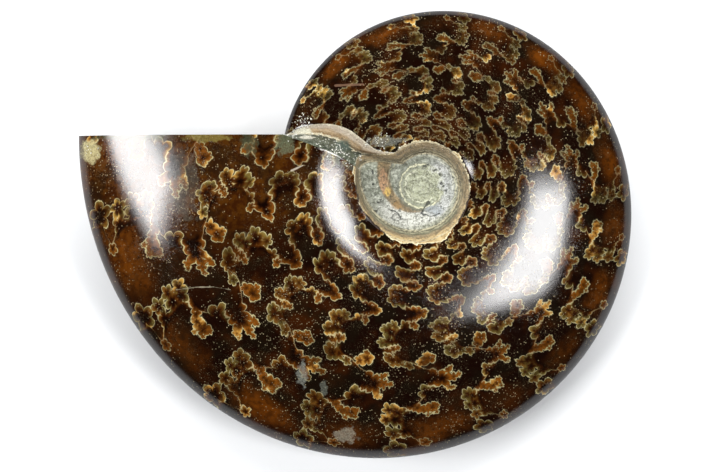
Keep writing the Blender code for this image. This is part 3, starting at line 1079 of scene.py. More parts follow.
def grain_group():
    """Shader group: coarse and fine mineral grain, and a ragged shift of the place."""
    inputs = {"Place": (VECTOR, None), "Ragged": (FLOAT, 0.5)}
    outputs = {"Coarse": FLOAT, "Fine": FLOAT, "Place": VECTOR}
    wiring, entry = new_group("mineral_grain", "ShaderNodeTree", inputs, outputs)
    coarse = wiring.step(wiring.noise(entry["Place"], 1.1, 5.0, 0.68), 0.34, 0.66)
    fine = wiring.step(wiring.noise(entry["Place"], 3.4, 3.0, 0.7), 0.32, 0.68)
    values = {"Vector": entry["Place"], "Scale": 1.0, "Detail": 4.0}
    shift = wiring.add("ShaderNodeTexNoise", values).outputs["Color"]
    shift = wiring.vector("SUBTRACT", shift, (0.5, 0.5, 0.5))
    shift = wiring.scaled(shift, wiring.times(entry["Ragged"], 2.0))
    return wiring.close(Coarse=coarse, Fine=fine, Place=wiring.vector("ADD", entry["Place"], shift))


PAINTED_GLINT = (0.42, 0.225, 0.045)  # painted glint: pale gold on frills where they would catch the light
RICH_STONE = (0.056, 0.0175, 0.0012)  # clear stone near the mouth


def stone_colours(wiring, colours, coil, plan):
    """Colour of the polished stone and its sutures, with painted glints on some frills, from the place on
    the shell.
    """
    sutures = wiring.group(sutures_group(), coil=coil, line_width=colours.line_width * TO_MILLIMETRES)
    phase, across, _ = wiring.split(coil)
    cloud = wiring.noise(plan, 0.16, 2.0)
    mottle = wiring.noise(plan, 0.9, 3.0, 0.6)
    bright = wiring.step(cloud, 0.34, 0.6, 0.5, 1.0)
    bright = wiring.times(bright, wiring.step(phase, 6.5, 12.0, 0.45, 1.0))
    cluster = wiring.step(wiring.noise(plan, 0.21, 2.0), 0.585, 0.64)
    bright = wiring.most(bright, cluster)
    glow = wiring.times(sutures["Glow"], bright)
    warm = wiring.times(wiring.step(wiring.noise(plan, 0.14, 3.0, 0.6), 0.46, 0.7), 0.8)
    nearness = wiring.step(phase, 16.3, 18.2)
    warm = wiring.most(warm, wiring.times(nearness, 0.85))
    cleared = wiring.times(nearness, wiring.step(mottle, 0.38, 0.62))
    rich = wiring.shade(cleared, tuple(colours.brown), RICH_STONE)
    ground = wiring.shade(warm, tuple(colours.dark), rich)
    sooty = wiring.times(wiring.step(wiring.noise(plan, 0.2, 3.0), 0.46, 0.62), 0.55)
    ground = wiring.shade(sooty, ground, (0.0046, 0.0034, 0.0014))
    values = {"W": sutures["Chamber"]}
    chance = wiring.add("ShaderNodeTexWhiteNoise", values, noise_dimensions="1D").outputs["Value"]
    side = wiring.over(wiring.minus(sutures["Ahead"], 8.6), 10.0)
    rise = wiring.over(wiring.minus(across, 0.93), 0.10)
    spread = wiring.vector("LENGTH", wiring.join(side, rise))
    spread = wiring.fuse(wiring.noise(plan, 0.3, 3.0), 1.1, wiring.minus(spread, 0.55))
    patch = wiring.times(wiring.step(spread, 1.1, 0.0), wiring.step(chance, 0.0, 1.0, 0.1, 0.8))
    patch = wiring.times(patch, wiring.step(mottle, 0.3, 0.65, 0.4, 1.0))
    ground = wiring.shade(patch, ground, tuple(colours.glow))
    inside = wiring.fuse(sutures["Depth"], 0.52, wiring.times(sutures["Inward"], 0.30))

    def fading(tones):
        """Colour from the tip of a frill in to its root."""
        stops = wiring.add("ShaderNodeValToRGB", {0: inside})
        for place, _ in tones[1:-1]:
            stops.color_ramp.elements.new(place)
        for element, (place, tone) in zip(stops.color_ramp.elements, tones):
            element.position = place
            element.color = (*tone, 1)
        return stops.outputs[0]

    names = ("line", "olive", "amber", "brown", "dark")
    pale, olive, amber, brown, dark = (tuple(getattr(colours, name)) for name in names)
    mossy = tuple(0.5 * tone for tone in olive)
    rusty = tuple(0.55 * tone for tone in amber)
    rim = ((0.0, pale), (0.04, olive))
    saddle = fading((*rim, (0.12, olive), (0.24, mossy), (0.38, brown), (0.58, dark)))
    lobe = fading((*rim, (0.10, amber), (0.18, amber), (0.30, rusty), (0.46, brown), (0.62, dark)))
    warmth = wiring.step(wiring.noise(plan, 0.35, 3.0), 0.42, 0.6, 0.1, 0.7)
    warmth = wiring.most(warmth, sutures["Lobe"])
    fill = wiring.shade(warmth, saddle, lobe)
    inner = wiring.add("ShaderNodeMix", {0: 1.0, 6: fill}, data_type="RGBA", blend_type="MULTIPLY")
    cloudy = wiring.step(mottle, 0.34, 0.66, 0.6, 1.25)
    grey = wiring.add("ShaderNodeCombineColor", dict.fromkeys(range(3), cloudy)).outputs[0]
    wiring.feed(inner.inputs[7], grey)
    colour = wiring.shade(glow, ground, inner.outputs[2])
    # Painted glint: pale gold on some frill clusters, and brighter lines there, where the frills would catch
    # the light
    gleam = wiring.times(wiring.times(cluster, glow), wiring.step(inside, 0.34, 0.04, 0.0, 0.8))
    colour = wiring.shade(wiring.times(gleam, wiring.step(mottle, 0.35, 0.6, 0.3, 1.0)), colour, PAINTED_GLINT)
    lit = wiring.fuse(wiring.times(glow, bright), 0.60, 0.09)
    line = wiring.times(sutures["Line"], wiring.most(lit, wiring.times(gleam, 1.1)))
    return wiring.shade(line, colour, pale)


def flank_material(colours):
    """Polished brown stone with its sutures."""
    material, wiring, shader = new_material("polished_flank")
    coil = wiring.attribute("coil")
    plan = wiring.attribute("plan")
    colour = stone_colours(wiring, colours, coil, plan)
    dense = wiring.step(wiring.noise(plan, 0.13, 3.0), 0.45, 0.72, 0.06, 0.42)
    grains = wiring.group(specks_group(), place=plan, spacing=0.30, size=0.42, share=dense)["Mask"]
    vivid = wiring.step(wiring.noise(plan, 0.9, 3.0, 0.6), 0.35, 0.65, 0.25, 0.75)
    colour = wiring.shade(wiring.times(grains, vivid), colour, (0.31, 0.26, 0.15))
    dust = wiring.step(wiring.noise(plan, 4.6, 3.0, 0.7), 0.56, 0.74)
    dust = wiring.times(dust, wiring.step(wiring.noise(plan, 0.24, 3.0), 0.40, 0.62, 0.05, 0.75))
    colour = wiring.shade(dust, colour, (0.115, 0.092, 0.048))
    grain = wiring.group(grain_group(), place=plan, ragged=0.7)
    colour = lay_patches(
        wiring, colour, patch_group(), FLANK_PATCHES, grain["Place"], grain["Fine"],
        lambda strength: (0.6 * strength, 0.4 * strength),
    )
    _, across, height = wiring.split(coil)
    chips = wiring.group(chips_group(), place=plan)["Reach"]
    past = wiring.minus(chips, wiring.times(across, height))
    shelly = wiring.shade(grain["Coarse"], (0.20, 0.135, 0.060), (0.46, 0.36, 0.19))
    shelly = wiring.shade(wiring.step(past, 0.24, 0.05), shelly, (0.62, 0.56, 0.38))
    colour = wiring.shade(wiring.step(past, -0.04, 0.05), colour, shelly)
    scratch = scratch_group()
    for start, end, width, tone in FLANK_SCRATCHES:
        mask = wiring.group(scratch, place=plan, start=(*start, 0), end=(*end, 0), width=width)["Mask"]
        colour = wiring.shade(wiring.times(mask, 0.6), colour, tone)
    fine = wiring.noise(plan, 5.0, 3.0, 0.65)
    worn = wiring.step(wiring.noise(plan, 0.9, 3.0), 0.3, 0.7, 0.045, 0.095)
    dull = wiring.times(wiring.most(dust, wiring.times(grains, 0.5)), 0.3)
    dull = wiring.plus(worn, dull)
    dull = wiring.most(dull, wiring.step(across, 0.94, 1.06, 0.0, 0.2))
    finish_stone(wiring, shader, colour, dull, wiring.fuse(dust, -0.8, fine), 0.14, 0.00006)
    shader["IOR"].default_value = 1.44
    return material


def arc_group():
    """Shader group: part of a thin ring about the hub, strongest in one direction."""
    inputs = {
        "Place": (VECTOR, None),
        "Radius": (FLOAT, 3.0),
        "Width": (FLOAT, 0.15),
        "Bearing": (VECTOR, None),
        "Spread": (FLOAT, 0.0),
    }
    wiring, entry = new_group("hub_arc", "ShaderNodeTree", inputs, {"Mask": FLOAT})
    flat = wiring.vector("MULTIPLY", entry["Place"], (1, 1, 0))
    away = wiring.vector("LENGTH", flat)
    gap = wiring.size(wiring.minus(away, entry["Radius"]))
    line = wiring.step(gap, wiring.times(entry["Width"], 0.35), entry["Width"], 1.0, 0.0)
    facing = wiring.over(wiring.vector("DOT_PRODUCT", flat, entry["Bearing"]), away)
    part = wiring.step(facing, entry["Spread"], wiring.plus(entry["Spread"], 0.35))
    return wiring.close(Mask=wiring.times(line, part))


# Rings of the hub: radius and width in millimetres, bearing and its least cosine, colour, strength
HUB_ARCS = (
    (4.35, 0.50, 200, -0.6, (0.13, 0.14, 0.11), 0.65),
    (3.90, 0.20, 205, -0.75, (0.62, 0.60, 0.42), 0.9),
    (3.45, 0.34, 195, -0.4, (0.20, 0.21, 0.17), 0.6),
    (2.95, 0.16, 215, -0.3, (0.60, 0.60, 0.46), 0.7),
    (2.35, 0.14, 240, 0.1, (0.22, 0.22, 0.13), 0.45),
    (1.60, 0.16, 30, -0.2, (0.55, 0.56, 0.42), 0.5),
    (5.65, 0.15, 75, -0.1, (0.62, 0.62, 0.50), 0.55),
    (6.20, 0.14, 80, -0.45, (0.58, 0.55, 0.38), 0.65),
    (5.10, 0.22, 60, 0.0, (0.17, 0.18, 0.15), 0.45),
)
# Growth lines of its wall: place from the foot 0 to the rim 1, width, strength
PALE_LINES = ((0.02, 0.07, 0.85), (0.20, 0.045, 0.6), (0.44, 0.03, 0.3), (0.96, 0.09, 0.8))
DARK_LINES = ((0.115, 0.05, 0.7), (0.36, 0.035, 0.4), (0.70, 0.03, 0.35))
# Patches of the umbilicus floor: place, reach, raggedness, colour, strength
FLOOR_PATCHES = (
    ((-6.4, 5.3), (2.7, 0.9), 0.30, (0.27, 0.165, 0.065), 0.9),
    ((-6.9, 1.0), (0.85, 2.6), 0.45, (0.62, 0.36, 0.20), 0.75),
    ((-6.1, -1.1), (0.7, 0.9), 0.45, (0.75, 0.50, 0.14), 0.8),
    ((-4.6, -3.6), (1.0, 0.8), 0.50, (0.30, 0.17, 0.055), 0.6),
    ((-9.2, 5.6), (1.3, 1.3), 0.70, (0.66, 0.66, 0.56), 0.7),
    ((2.4, -4.4), (2.0, 1.1), 0.35, (0.27, 0.30, 0.32), 0.75),
    ((2.9, 3.0), (2.2, 0.8), 0.60, (0.55, 0.55, 0.53), 0.5),
    ((3.9, 0.2), (1.0, 1.7), 0.60, (0.52, 0.53, 0.53), 0.5),
)
# Black holes in it: place and reach
FLOOR_PITS = (
    ((0.5, 3.6), (0.55, 0.22)), ((1.1, 3.9), (0.30, 0.20)), ((2.5, 2.9), (0.28, 0.22)),
    ((3.4, 2.1), (0.28, 0.24)), ((4.0, -0.1), (0.42, 0.34)), ((3.6, 0.4), (0.24, 0.26)),
    ((4.5, -0.9), (0.22, 0.2)), ((-8.9, 2.5), (0.28, 0.42)), ((-8.8, 0.2), (0.20, 0.34)),
    ((-7.9, -2.9), (0.34, 0.22)), ((-7.3, -2.5), (0.2, 0.2)), ((-8.3, -4.6), (0.5, 0.3)),
)
# Cracks in it: two ends and width
FLOOR_CRACKS = (
    ((1.3, -2.9), (0.4, -4.0), 0.22), ((0.4, -4.0), (0.0, -5.0), 0.16),
    ((0.0, -5.0), (1.8, -5.5), 0.16), ((1.8, -5.5), (3.4, -5.0), 0.10),
    ((-5.6, -4.4), (-4.2, -5.0), 0.12), ((-4.2, -5.0), (-3.9, -5.9), 0.12),
)


def umbilicus_material():
    """Tan ring, granular inner whorls, fine rings and pits of the open umbilicus."""
    material, wiring, shader = new_material("umbilicus_shell")
    plan = wiring.attribute("plan")
    place = wiring.attribute("umbilicus")
    ring, drop, _ = wiring.split(place)
    grain = wiring.group(grain_group(), place=plan, ragged=0.55)
    coarse, fine, torn = grain["Coarse"], grain["Fine"], grain["Place"]
    x, y, _ = wiring.split(torn)
    away = wiring.vector("LENGTH", wiring.vector("MULTIPLY", torn, (1, 1, 0)))
    turn = wiring.math("ARCTAN2", y, x)

    colour = wiring.shade(coarse, (0.135, 0.150, 0.105), (0.50, 0.52, 0.43))
    pale = wiring.times(wiring.step(y, -1.0, -4.5), wiring.step(x, -9.0, -6.0, 0.3, 0.85))
    white = wiring.shade(fine, (0.40, 0.40, 0.35), (0.70, 0.70, 0.64))
    colour = wiring.shade(pale, colour, white)
    grey = wiring.times(wiring.step(x, 0.5, 3.0), wiring.step(away, 6.6, 5.9))
    sugary = wiring.shade(fine, (0.19, 0.20, 0.20), (0.62, 0.63, 0.62))
    colour = wiring.shade(wiring.times(grey, 0.65), colour, sugary)
    edge = wiring.times(wiring.step(ring, 0.82, 0.93), wiring.step(x, -3.0, 1.0, 0.35, 0.85))
    colour = wiring.shade(edge, colour, wiring.shade(fine, (0.17, 0.18, 0.13), (0.34, 0.34, 0.25)))
    left = wiring.step(x, 2.2, 0.6)
    wall = wiring.times(wiring.step(drop, 0.03, 0.16), wiring.step(drop, 0.80, 0.62))
    wall = wiring.times(wall, left)
    tan = wiring.shade(coarse, (0.115, 0.075, 0.035), (0.34, 0.235, 0.115))
    colour = wiring.shade(wiring.times(wall, 0.9), colour, tan)
    inside = wiring.step(away, 4.5, 3.9)
    hub = wiring.shade(coarse, (0.165, 0.175, 0.085), (0.42, 0.44, 0.30))
    hub = wiring.shade(wiring.times(fine, 0.5), hub, (0.54, 0.56, 0.47))
    swirl = wiring.fuse(turn, 0.35, wiring.times(away, 12.0))
    swirl = wiring.math("SINE", wiring.plus(swirl, wiring.times(coarse, 2.5)))
    swirl = wiring.times(wiring.step(swirl, 0.1, 0.9), wiring.step(away, 0.5, 1.6, 0.0, 0.38))
    hub = wiring.shade(swirl, hub, (0.19, 0.20, 0.11))
    colour = wiring.shade(inside, colour, hub)
    arcs, patches, scratch = arc_group(), patch_group(), scratch_group()
    for radius, width, bearing, spread, tone, strength in HUB_ARCS:
        facing = (math.cos(math.radians(bearing)), math.sin(math.radians(bearing)), 0)
        arc = wiring.group(arcs, place=torn, radius=radius, width=width, bearing=facing, spread=spread)
        mask = wiring.times(arc["Mask"], wiring.step(ring, 0.99, 0.96, 0.0, strength))
        colour = wiring.shade(mask, colour, tone)
    colour = lay_patches(
        wiring, colour, patches, FLOOR_PATCHES, torn, fine, lambda strength: (0.4, strength - 0.25)
    )
    holes = None
    for centre, reach in FLOOR_PITS:
        mask = patch_mask(wiring, patches, torn, centre, reach, 0.25)
        holes = mask if holes is None else wiring.most(holes, mask)
    oval = wiring.vector("MULTIPLY", wiring.vector("ADD", torn, (4.6, 5.75, 0)), (1.0, 1.5, 0))
    oval = wiring.size(wiring.minus(wiring.vector("LENGTH", oval), 0.78))
    holes = wiring.most(holes, wiring.step(oval, 0.06, 0.2, 0.75, 0.0))
    for start, end, width in FLOOR_CRACKS:
        crack = wiring.group(scratch, place=torn, start=(*start, 0), end=(*end, 0), width=width)["Mask"]
        holes = wiring.most(holes, crack)
    pits = wiring.group(specks_group(), place=plan, spacing=0.7, size=0.32, share=0.16)["Mask"]
    pits = wiring.times(pits, wiring.step(away, 3.9, 5.0, 0.1, 0.75))
    pits = wiring.most(holes, pits)
    colour = wiring.shade(wiring.times(pits, 0.88), colour, (0.030, 0.034, 0.034))

    along = wiring.join(wiring.times(ring, 15.0), wiring.times(turn, 1.6), 3.0)
    streaks = wiring.step(wiring.noise(along, 1.0, 3.0, 0.6), 0.34, 0.66)
    climb = wiring.minus(ring, 1.0)
    climb = wiring.fuse(wiring.minus(coarse, 0.5), 0.10, climb)
    wall = wiring.shade(streaks, (0.145, 0.098, 0.045), (0.40, 0.30, 0.165))
    lower = wiring.step(y, -2.0, -6.0)
    greenish = wiring.times(wiring.step(climb, 0.46, 0.30), wiring.fuse(lower, 0.6, 0.3))
    wall = wiring.shade(greenish, wall, wiring.shade(streaks, (0.11, 0.115, 0.07), (0.32, 0.32, 0.21)))
    bright = wiring.times(lower, wiring.step(climb, 0.55, 0.72))
    sunny = wiring.shade(streaks, (0.50, 0.34, 0.15), (0.68, 0.53, 0.27))
    wall = wiring.shade(wiring.times(bright, 0.9), wall, sunny)

    def growth_line(level, width, strength):
        gap = wiring.size(wiring.minus(climb, level))
        return wiring.step(gap, width * 0.4, width, strength, 0.0)

    for values in PALE_LINES:
        line = wiring.times(growth_line(*values), wiring.fuse(fine, 0.6, 0.4))
        wall = wiring.shade(line, wall, (0.66, 0.61, 0.42))
    for values in DARK_LINES:
        wall = wiring.shade(growth_line(*values), wall, (0.065, 0.055, 0.028))
    wall = wiring.shade(wiring.times(fine, 0.22), wall, (0.16, 0.13, 0.085))
    colour = wiring.shade(wiring.step(ring, 0.95, 0.99), colour, wall)
    creases = wiring.times(wiring.step(wiring.noise(plan, 1.7, 4.0, 0.7), 0.50, 0.36), 0.6)
    colour = wiring.shade(creases, colour, (0.065, 0.066, 0.045))
    veins = wiring.size(wiring.minus(wiring.noise(torn, 0.62, 3.0, 0.6), 0.5))
    veins = wiring.step(veins, 0.008, 0.030, 0.5, 0.0)
    colour = wiring.shade(veins, colour, (0.045, 0.044, 0.030))
    colour = wiring.shade(0.10, colour, (0.02, 0.018, 0.012))
    chips = wiring.group(chips_group(), place=plan)["Reach"]
    short = wiring.fuse(wiring.minus(2.0, ring), 2.1, chips)
    colour = wiring.shade(wiring.step(short, 0.04, -0.06), colour, (0.022, 0.010, 0.006))
    height = wiring.fuse(coarse, 0.8, wiring.times(pits, -1.2))
    height = wiring.fuse(fine, 0.35, height)
    height = wiring.fuse(streaks, wiring.step(ring, 0.95, 1.0, 0.0, 0.5), height)
    finish_stone(wiring, shader, colour, wiring.step(fine, 0.0, 1.0, 0.30, 0.52), height, 0.75, 0.0002)
    return material


# Parts of the broken edge: place, reach, raggedness, colour, strength
EDGE_PATCHES = (
    ((-24.4, 11.0), (0.9, 0.9), 0.40, (0.36, 0.20, 0.07), 0.9),
    ((-22.3, 10.0), (2.6, 0.9), 0.55, (0.64, 0.62, 0.48), 0.9),
    ((-21.2, 11.9), (1.0, 1.1), 0.60, (0.035, 0.036, 0.030), 0.9),
    ((-23.3, 9.8), (0.36, 0.26), 0.25, (0.02, 0.02, 0.018), 1.0),
    ((-14.0, 11.2), (1.8, 0.5), 0.50, (0.50, 0.46, 0.38), 0.6),
    ((-9.6, 8.4), (0.6, 1.4), 0.50, (0.50, 0.50, 0.44), 0.5),
    ((-14.2, 7.3), (1.6, 1.2), 0.25, (0.075, 0.105, 0.082), 0.9),
    ((-20.6, 8.6), (1.5, 0.42), 0.25, (0.72, 0.69, 0.56), 0.95),
)


def broken_edge_material():
    """The torn end of the last whorl: green matrix, crumbs and the tan band of shell."""
    material, wiring, shader = new_material("broken_edge")
    plan = wiring.attribute("plan")
    lap = wiring.split(wiring.attribute("umbilicus"))[2]
    grain = wiring.group(grain_group(), place=plan, ragged=0.5)
    coarse, fine, torn = grain["Coarse"], grain["Fine"], grain["Place"]
    place = wiring.fuse(wiring.minus(coarse, 0.5), 0.09, lap)
    sideways = wiring.times(wiring.split(torn)[0], 0.25)
    along = wiring.join(wiring.times(lap, 14.0), sideways, 8.0)
    streaks = wiring.step(wiring.noise(along, 1.0, 3.0, 0.6), 0.34, 0.66)
    matrix = wiring.shade(coarse, (0.022, 0.028, 0.016), (0.105, 0.125, 0.078))
    matrix = wiring.shade(wiring.step(fine, 0.80, 0.98, 0.0, 0.7), matrix, (0.46, 0.48, 0.38))
    tan = wiring.shade(streaks, (0.255, 0.160, 0.070), (0.46, 0.345, 0.205))
    # painted highlight: greyish cream over the tan band's upper half, where it would catch the light
    tan = wiring.shade(wiring.step(place, 0.68, 0.86, 0.0, 0.6), tan, (0.43, 0.40, 0.34))
    tan = wiring.shade(wiring.times(fine, 0.25), tan, (0.18, 0.13, 0.08))
    colour = wiring.shade(wiring.step(place, 0.46, 0.50), matrix, tan)
    cream = wiring.times(wiring.step(place, 0.44, 0.48), wiring.step(place, 0.565, 0.52))
    colour = wiring.shade(wiring.times(cream, 0.85), colour, (0.66, 0.60, 0.42))
    lip = wiring.times(wiring.step(place, 0.93, 0.97), wiring.fuse(fine, 0.7, 0.3))
    colour = wiring.shade(wiring.times(lip, 0.8), colour, (0.62, 0.58, 0.44))
    dark = wiring.times(wiring.step(place, 0.33, 0.40), wiring.step(place, 0.47, 0.44))
    colour = wiring.shade(wiring.times(dark, 0.7), colour, (0.018, 0.022, 0.012))
    colour = lay_patches(
        wiring, colour, patch_group(), EDGE_PATCHES, torn, fine, lambda strength: (0.3, strength - 0.15)
    )
    pits = wiring.group(specks_group(), place=plan, spacing=0.6, size=0.34, share=0.12)["Mask"]
    colour = wiring.shade(wiring.times(pits, 0.6), colour, (0.03, 0.03, 0.025))
    height = wiring.fuse(pits, -0.8, wiring.fuse(fine, 0.5, coarse))
    finish_stone(wiring, shader, colour, wiring.step(fine, 0.0, 1.0, 0.28, 0.55), height, 0.85, 0.0003)
    return material


def sawn_material():
    """The ground face across the mouth: clouded brown and green calcite with pale veins."""
    material, wiring, shader = new_material("sawn_mouth")
    plan = wiring.attribute("plan")
    cloud = wiring.noise(plan, 0.22, 4.0, 0.6)
    grain = wiring.noise(plan, 2.0, 4.0, 0.65)
    colour = wiring.shade(wiring.step(cloud, 0.35, 0.62), (0.035, 0.030, 0.012), (0.16, 0.105, 0.040))
    torn = wiring.group(grain_group(), place=plan, ragged=2.0)["Place"]
    cells = wiring.add("ShaderNodeTexVoronoi", {"Vector": torn, "Scale": 0.17}, feature="DISTANCE_TO_EDGE")
    veins = wiring.step(cells.outputs["Distance"], 0.01, 0.05, 0.6, 0.0)
    veins = wiring.times(veins, wiring.step(cloud, 0.4, 0.6))
    colour = wiring.shade(veins, colour, (0.34, 0.31, 0.20))
    colour = wiring.shade(wiring.times(wiring.step(grain, 0.55, 0.7), 0.4), colour, (0.36, 0.34, 0.26))
    finish_stone(wiring, shader, colour, wiring.step(grain, 0.3, 0.7, 0.16, 0.3), grain, 0.25, 0.0001)
    return material


def paper_material():
    """White matt paper with a faint tooth."""
    material, wiring, shader = new_material("studio_paper")
    place = wiring.add("ShaderNodeTexCoord").outputs["Object"]
    tooth = wiring.noise(place, 900.0, 3.0, 0.6)
    wiring.feed(shader["Base Color"], wiring.shade(tooth, (0.53, 0.54, 0.555), (0.56, 0.565, 0.57)))
    wiring.feed(shader["Roughness"], wiring.step(tooth, 0.3, 0.7, 0.75, 0.9))
    return material


class AMMONITE_OT_shell(bpy.types.Operator):
    """Builds the polished shell with its umbilicus, broken edge and sawn mouth"""

    bl_idname = "ammonite.shell"
    bl_label = "Build the shell"

    def execute(self, context):
        scene = context.scene
        materials = [
            flank_material(scene.ammonite_colours),
            umbilicus_material(),
            broken_edge_material(),
            sawn_material(),
        ]
        ammonite = build_ammonite(scene.ammonite_sizes, materials)
        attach(ammonite, "root")
        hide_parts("ammonite")
        return {"FINISHED"}


def add_softbox(name, settings, side, brightness, roll=0.0):
    """A rectangular light at two angles from straight up, turned about its own middle."""
    angles = getattr(settings, side + "_angles")
    size = getattr(settings, side + "_size")
    lamp = bpy.data.lights.new(name, "AREA")
    lamp.shape = "RECTANGLE"
    away = Vector((math.tan(angles[0]), math.tan(angles[1]), 1)).normalized()
    lamp.size = 2 * settings.distance * math.tan(size[0] / 2)
    lamp.size_y = 2 * settings.distance * math.tan(size[1] / 2)
    lamp.energy = brightness * lamp.size * lamp.size_y * math.pi
    box = bpy.data.objects.new(name, lamp)
    box.location = away * settings.distance
    across = Vector((0, 1, 0)).cross(away).normalized()
    up = away.cross(across)
    turned = Matrix((across, up, away)).transposed() @ Matrix.Rotation(roll, 3, "Z")
    box.rotation_euler = turned.to_euler()
    bpy.context.scene.collection.objects.link(box)
    return box


# Where crumbs of the torn shell stick: place from the pole in millimetres, reach,
# crumbs for each square millimetre
CRUMB_SPOTS = (
    ((-15.6, 5.7), 1.9, 4.0), ((-12.6, 4.6), 1.7, 2.2), ((-7.4, 7.9), 1.7, 2.6),
    ((-4.6, 8.0), 1.3, 1.6), ((-21.6, 11.6), 1.5, 3.2), ((-23.6, 8.4), 1.6, 1.2),
    ((-9.6, 7.2), 1.1, 2.4), ((-18.4, 8.2), 1.4, 1.4), ((-59.6, 6.6), 1.8, 1.2),
)


FULL_SPIN = 6.3  # about a whole turn


def crumbs_tree():
    """Geometry node tree: scatters small angular crumbs over a surface."""
    inputs = {
        "Surface": ("NodeSocketGeometry", None),
        "Density": (FLOAT, 1.0e6),
        "Smallest": (FLOAT, 0.00006),
        "Largest": (FLOAT, 0.00022),
        "Seed": ("NodeSocketInt", 7),
        "Material": ("NodeSocketMaterial", None),
    }
    outputs = {"Geometry": "NodeSocketGeometry"}
    wiring, entry = new_group("scatter_crumbs", "GeometryNodeTree", inputs, outputs)
    stored = wiring.add("GeometryNodeInputNamedAttribute", {"Name": "crumbs"}, data_type="FLOAT")
    density = wiring.times(stored.outputs["Attribute"], entry["Density"])
    values = {"Mesh": entry["Surface"], "Density": density, "Seed": entry["Seed"]}
    scatter = wiring.add("GeometryNodeDistributePointsOnFaces", values)
    crumb = wiring.add("GeometryNodeMeshIcoSphere", {"Radius": 1.0, "Subdivisions": 1}).outputs["Mesh"]

    def random_vector(low, high, seed):
        values = {0: low, 1: high, "Seed": seed}
        return wiring.add("FunctionNodeRandomValue", values, data_type="FLOAT_VECTOR").outputs[0]

    spin = random_vector((0, 0, 0), (FULL_SPIN, FULL_SPIN, FULL_SPIN), 11)
    values = {2: entry["Smallest"], 3: entry["Largest"], "Seed": 5}
    size = wiring.add("FunctionNodeRandomValue", values, data_type="FLOAT").outputs[1]
    stretch = random_vector((0.6, 0.5, 0.4), (1.5, 1.2, 0.9), 3)
    scale = wiring.scaled(stretch, size)
    points = scatter.outputs["Points"]
    values = {"Points": points, "Instance": crumb, "Rotation": spin, "Scale": scale}
    mesh = wiring.add("GeometryNodeInstanceOnPoints", values).outputs[0]
    mesh = wiring.add("GeometryNodeRealizeInstances", {"Geometry": mesh}).outputs[0]
    mesh = wiring.add("GeometryNodeSetShadeSmooth", {"Geometry": mesh, "Shade Smooth": False}).outputs[0]
    values = {"Geometry": mesh, "Material": entry["Material"]}
    return wiring.close(Geometry=wiring.add("GeometryNodeSetMaterial", values).outputs[0])


def crumb_material():
    """Chalky white crumbs of broken shell."""
    material, wiring, shader = new_material("shell_crumbs")
    place = wiring.add("ShaderNodeTexCoord").outputs["Object"]
    place = wiring.scaled(place, TO_MILLIMETRES)
    grain = wiring.group(grain_group(), place=place, ragged=0.0)
    colour = wiring.shade(grain["Coarse"], (0.20, 0.205, 0.155), (0.72, 0.71, 0.64))
    colour = wiring.shade(wiring.times(grain["Fine"], 0.3), colour, (0.85, 0.84, 0.8))
    finish_stone(wiring, shader, colour, wiring.step(grain["Fine"], 0.0, 1.0, 0.4, 0.65))
    return material


def crumb_surface(ammonite):
    """A copy of the upper faces where crumbs stick, with their density at each point."""
    shell = ammonite.data
    count = len(shell.vertices)
    plan = np.zeros(count * 3, np.float32)
    shell.attributes["plan"].data.foreach_get("vector", plan)
    plan = plan.reshape(-1, 3)
    density = np.zeros(count, np.float32)
    for (x, y), reach, share in CRUMB_SPOTS:
        away = np.hypot(plan[:, 0] - x, plan[:, 1] - y) / reach
        density = np.maximum(density, share * np.clip(1.3 - away, 0, 1) * (plan[:, 2] > 0))
    mesh = shell.copy()
    mesh.attributes.new("crumbs", "FLOAT", "POINT").data.foreach_set("value", density)
    work = bmesh.new()
    work.from_mesh(mesh)
    bare = [face for face in work.faces if max(density[corner.index] for corner in face.verts) == 0]
    bmesh.ops.delete(work, geom=bare, context="FACES")
    work.to_mesh(mesh)
    work.free()
    return bpy.data.objects.new("crumb_surface", mesh)


class AMMONITE_OT_crumbs(bpy.types.Operator):
    """Scatters crumbs of torn shell along the broken edge"""

    bl_idname = "ammonite.crumbs"
    bl_label = "Scatter the crumbs"

    def execute(self, context):
        host = crumb_surface(bpy.data.objects["ammonite_shell"])
        context.scene.collection.objects.link(host)
        mesh = apply_nodes(host, crumbs_tree(), {"Density": 1.0e6, "Seed": 7, "Material": crumb_material()})
        bpy.data.objects.remove(host)
        if len(mesh.vertices) == 0:
            raise RuntimeError("no crumbs were scattered")
        mesh.name = "shell_crumbs"
        crumbs = bpy.data.objects.new("shell_crumbs", mesh)
        context.scene.collection.objects.link(crumbs)
        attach(crumbs, "root")
        return {"FINISHED"}


FLOOR_HALF = 1.5
CAMERA_PLACE = (-0.00045, -0.00014, 0.713)
CAMERA_SENSOR = 36  # in millimetres
CAMERA_LENS = 197  # in millimetres
AIR_COLOUR = (0.82, 0.91, 1, 1)


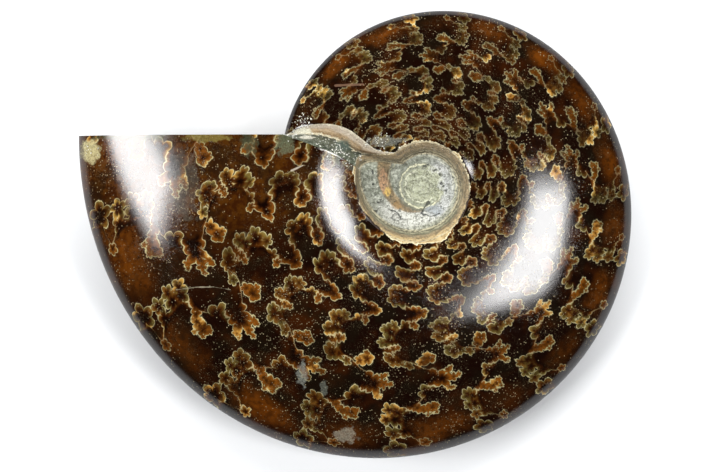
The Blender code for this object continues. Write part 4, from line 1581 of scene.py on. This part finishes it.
class AMMONITE_OT_studio(bpy.types.Operator):
    """Adds the pale floor, the softboxes and the camera above"""

    bl_idname = "ammonite.studio"
    bl_label = "Set up the studio"

    def execute(self, context):
        scene = context.scene
        settings = scene.ammonite_studio
        plane = bpy.data.meshes.new("studio_floor")
        corners = [(FLOOR_HALF * x, FLOOR_HALF * y, 0) for x, y in ((-1, -1), (1, -1), (1, 1), (-1, 1))]
        plane.from_pydata(corners, [], [(0, 1, 2, 3)])
        plane.materials.append(paper_material())
        floor = bpy.data.objects.new("studio_floor", plane)
        scene.collection.objects.link(floor)
        add_softbox("softbox_right", settings, "right", settings.softbox_light)
        add_softbox("softbox_left", settings, "left", settings.softbox_light, settings.left_roll)
        back = add_softbox("back_light", settings, "back", settings.back_light)
        back.visible_glossy = False  # it lights the stone but isn't mirrored in it
        view = bpy.data.cameras.new("overhead_camera")
        view.sensor_width = CAMERA_SENSOR
        view.lens = CAMERA_LENS
        camera = bpy.data.objects.new("overhead_camera", view)
        camera.location = CAMERA_PLACE
        scene.collection.objects.link(camera)
        scene.camera = camera
        world = bpy.data.worlds.new("studio_air")
        scene.world = world
        world.use_nodes = True
        air = world.node_tree.nodes["Background"].inputs
        air["Color"].default_value = AIR_COLOUR
        air["Strength"].default_value = settings.air_light
        scene.view_settings.view_transform = "Standard"
        return {"FINISHED"}


class AMMONITE_PT_panel(bpy.types.Panel):
    """Lists the steps that build the ammonite"""

    bl_idname = "AMMONITE_PT_panel"
    bl_label = "Ammonite"
    bl_space_type = "VIEW_3D"
    bl_region_type = "UI"
    bl_category = "Ammonite"

    def draw(self, context):
        layout = self.layout
        for name in ammonite_settings:
            group = getattr(context.scene, name)
            box = layout.box()
            for key in group.bl_rna.properties.keys():
                if key not in ("rna_type", "name"):
                    box.prop(group, key)
        for operator in STEPS:
            layout.operator(operator.bl_idname)


ammonite_settings = {
    "ammonite_sizes": ShellSizes,
    "ammonite_colours": ShellColours,
    "ammonite_studio": Studio,
}
STEPS = (AMMONITE_OT_shell, AMMONITE_OT_crumbs, AMMONITE_OT_studio)


def register():
    for item in (*ammonite_settings.values(), *STEPS, AMMONITE_PT_panel):
        bpy.utils.register_class(item)
    for name, group in ammonite_settings.items():
        setattr(bpy.types.Scene, name, PointerProperty(type=group))


def unregister():
    for name in ammonite_settings:
        delattr(bpy.types.Scene, name)
    for item in (AMMONITE_PT_panel, *reversed(STEPS), *ammonite_settings.values()):
        bpy.utils.unregister_class(item)


def main():
    register()
    bpy.ops.ammonite.shell()
    bpy.ops.ammonite.crumbs()
    bpy.ops.ammonite.studio()


if __name__ == "__main__":
    main()
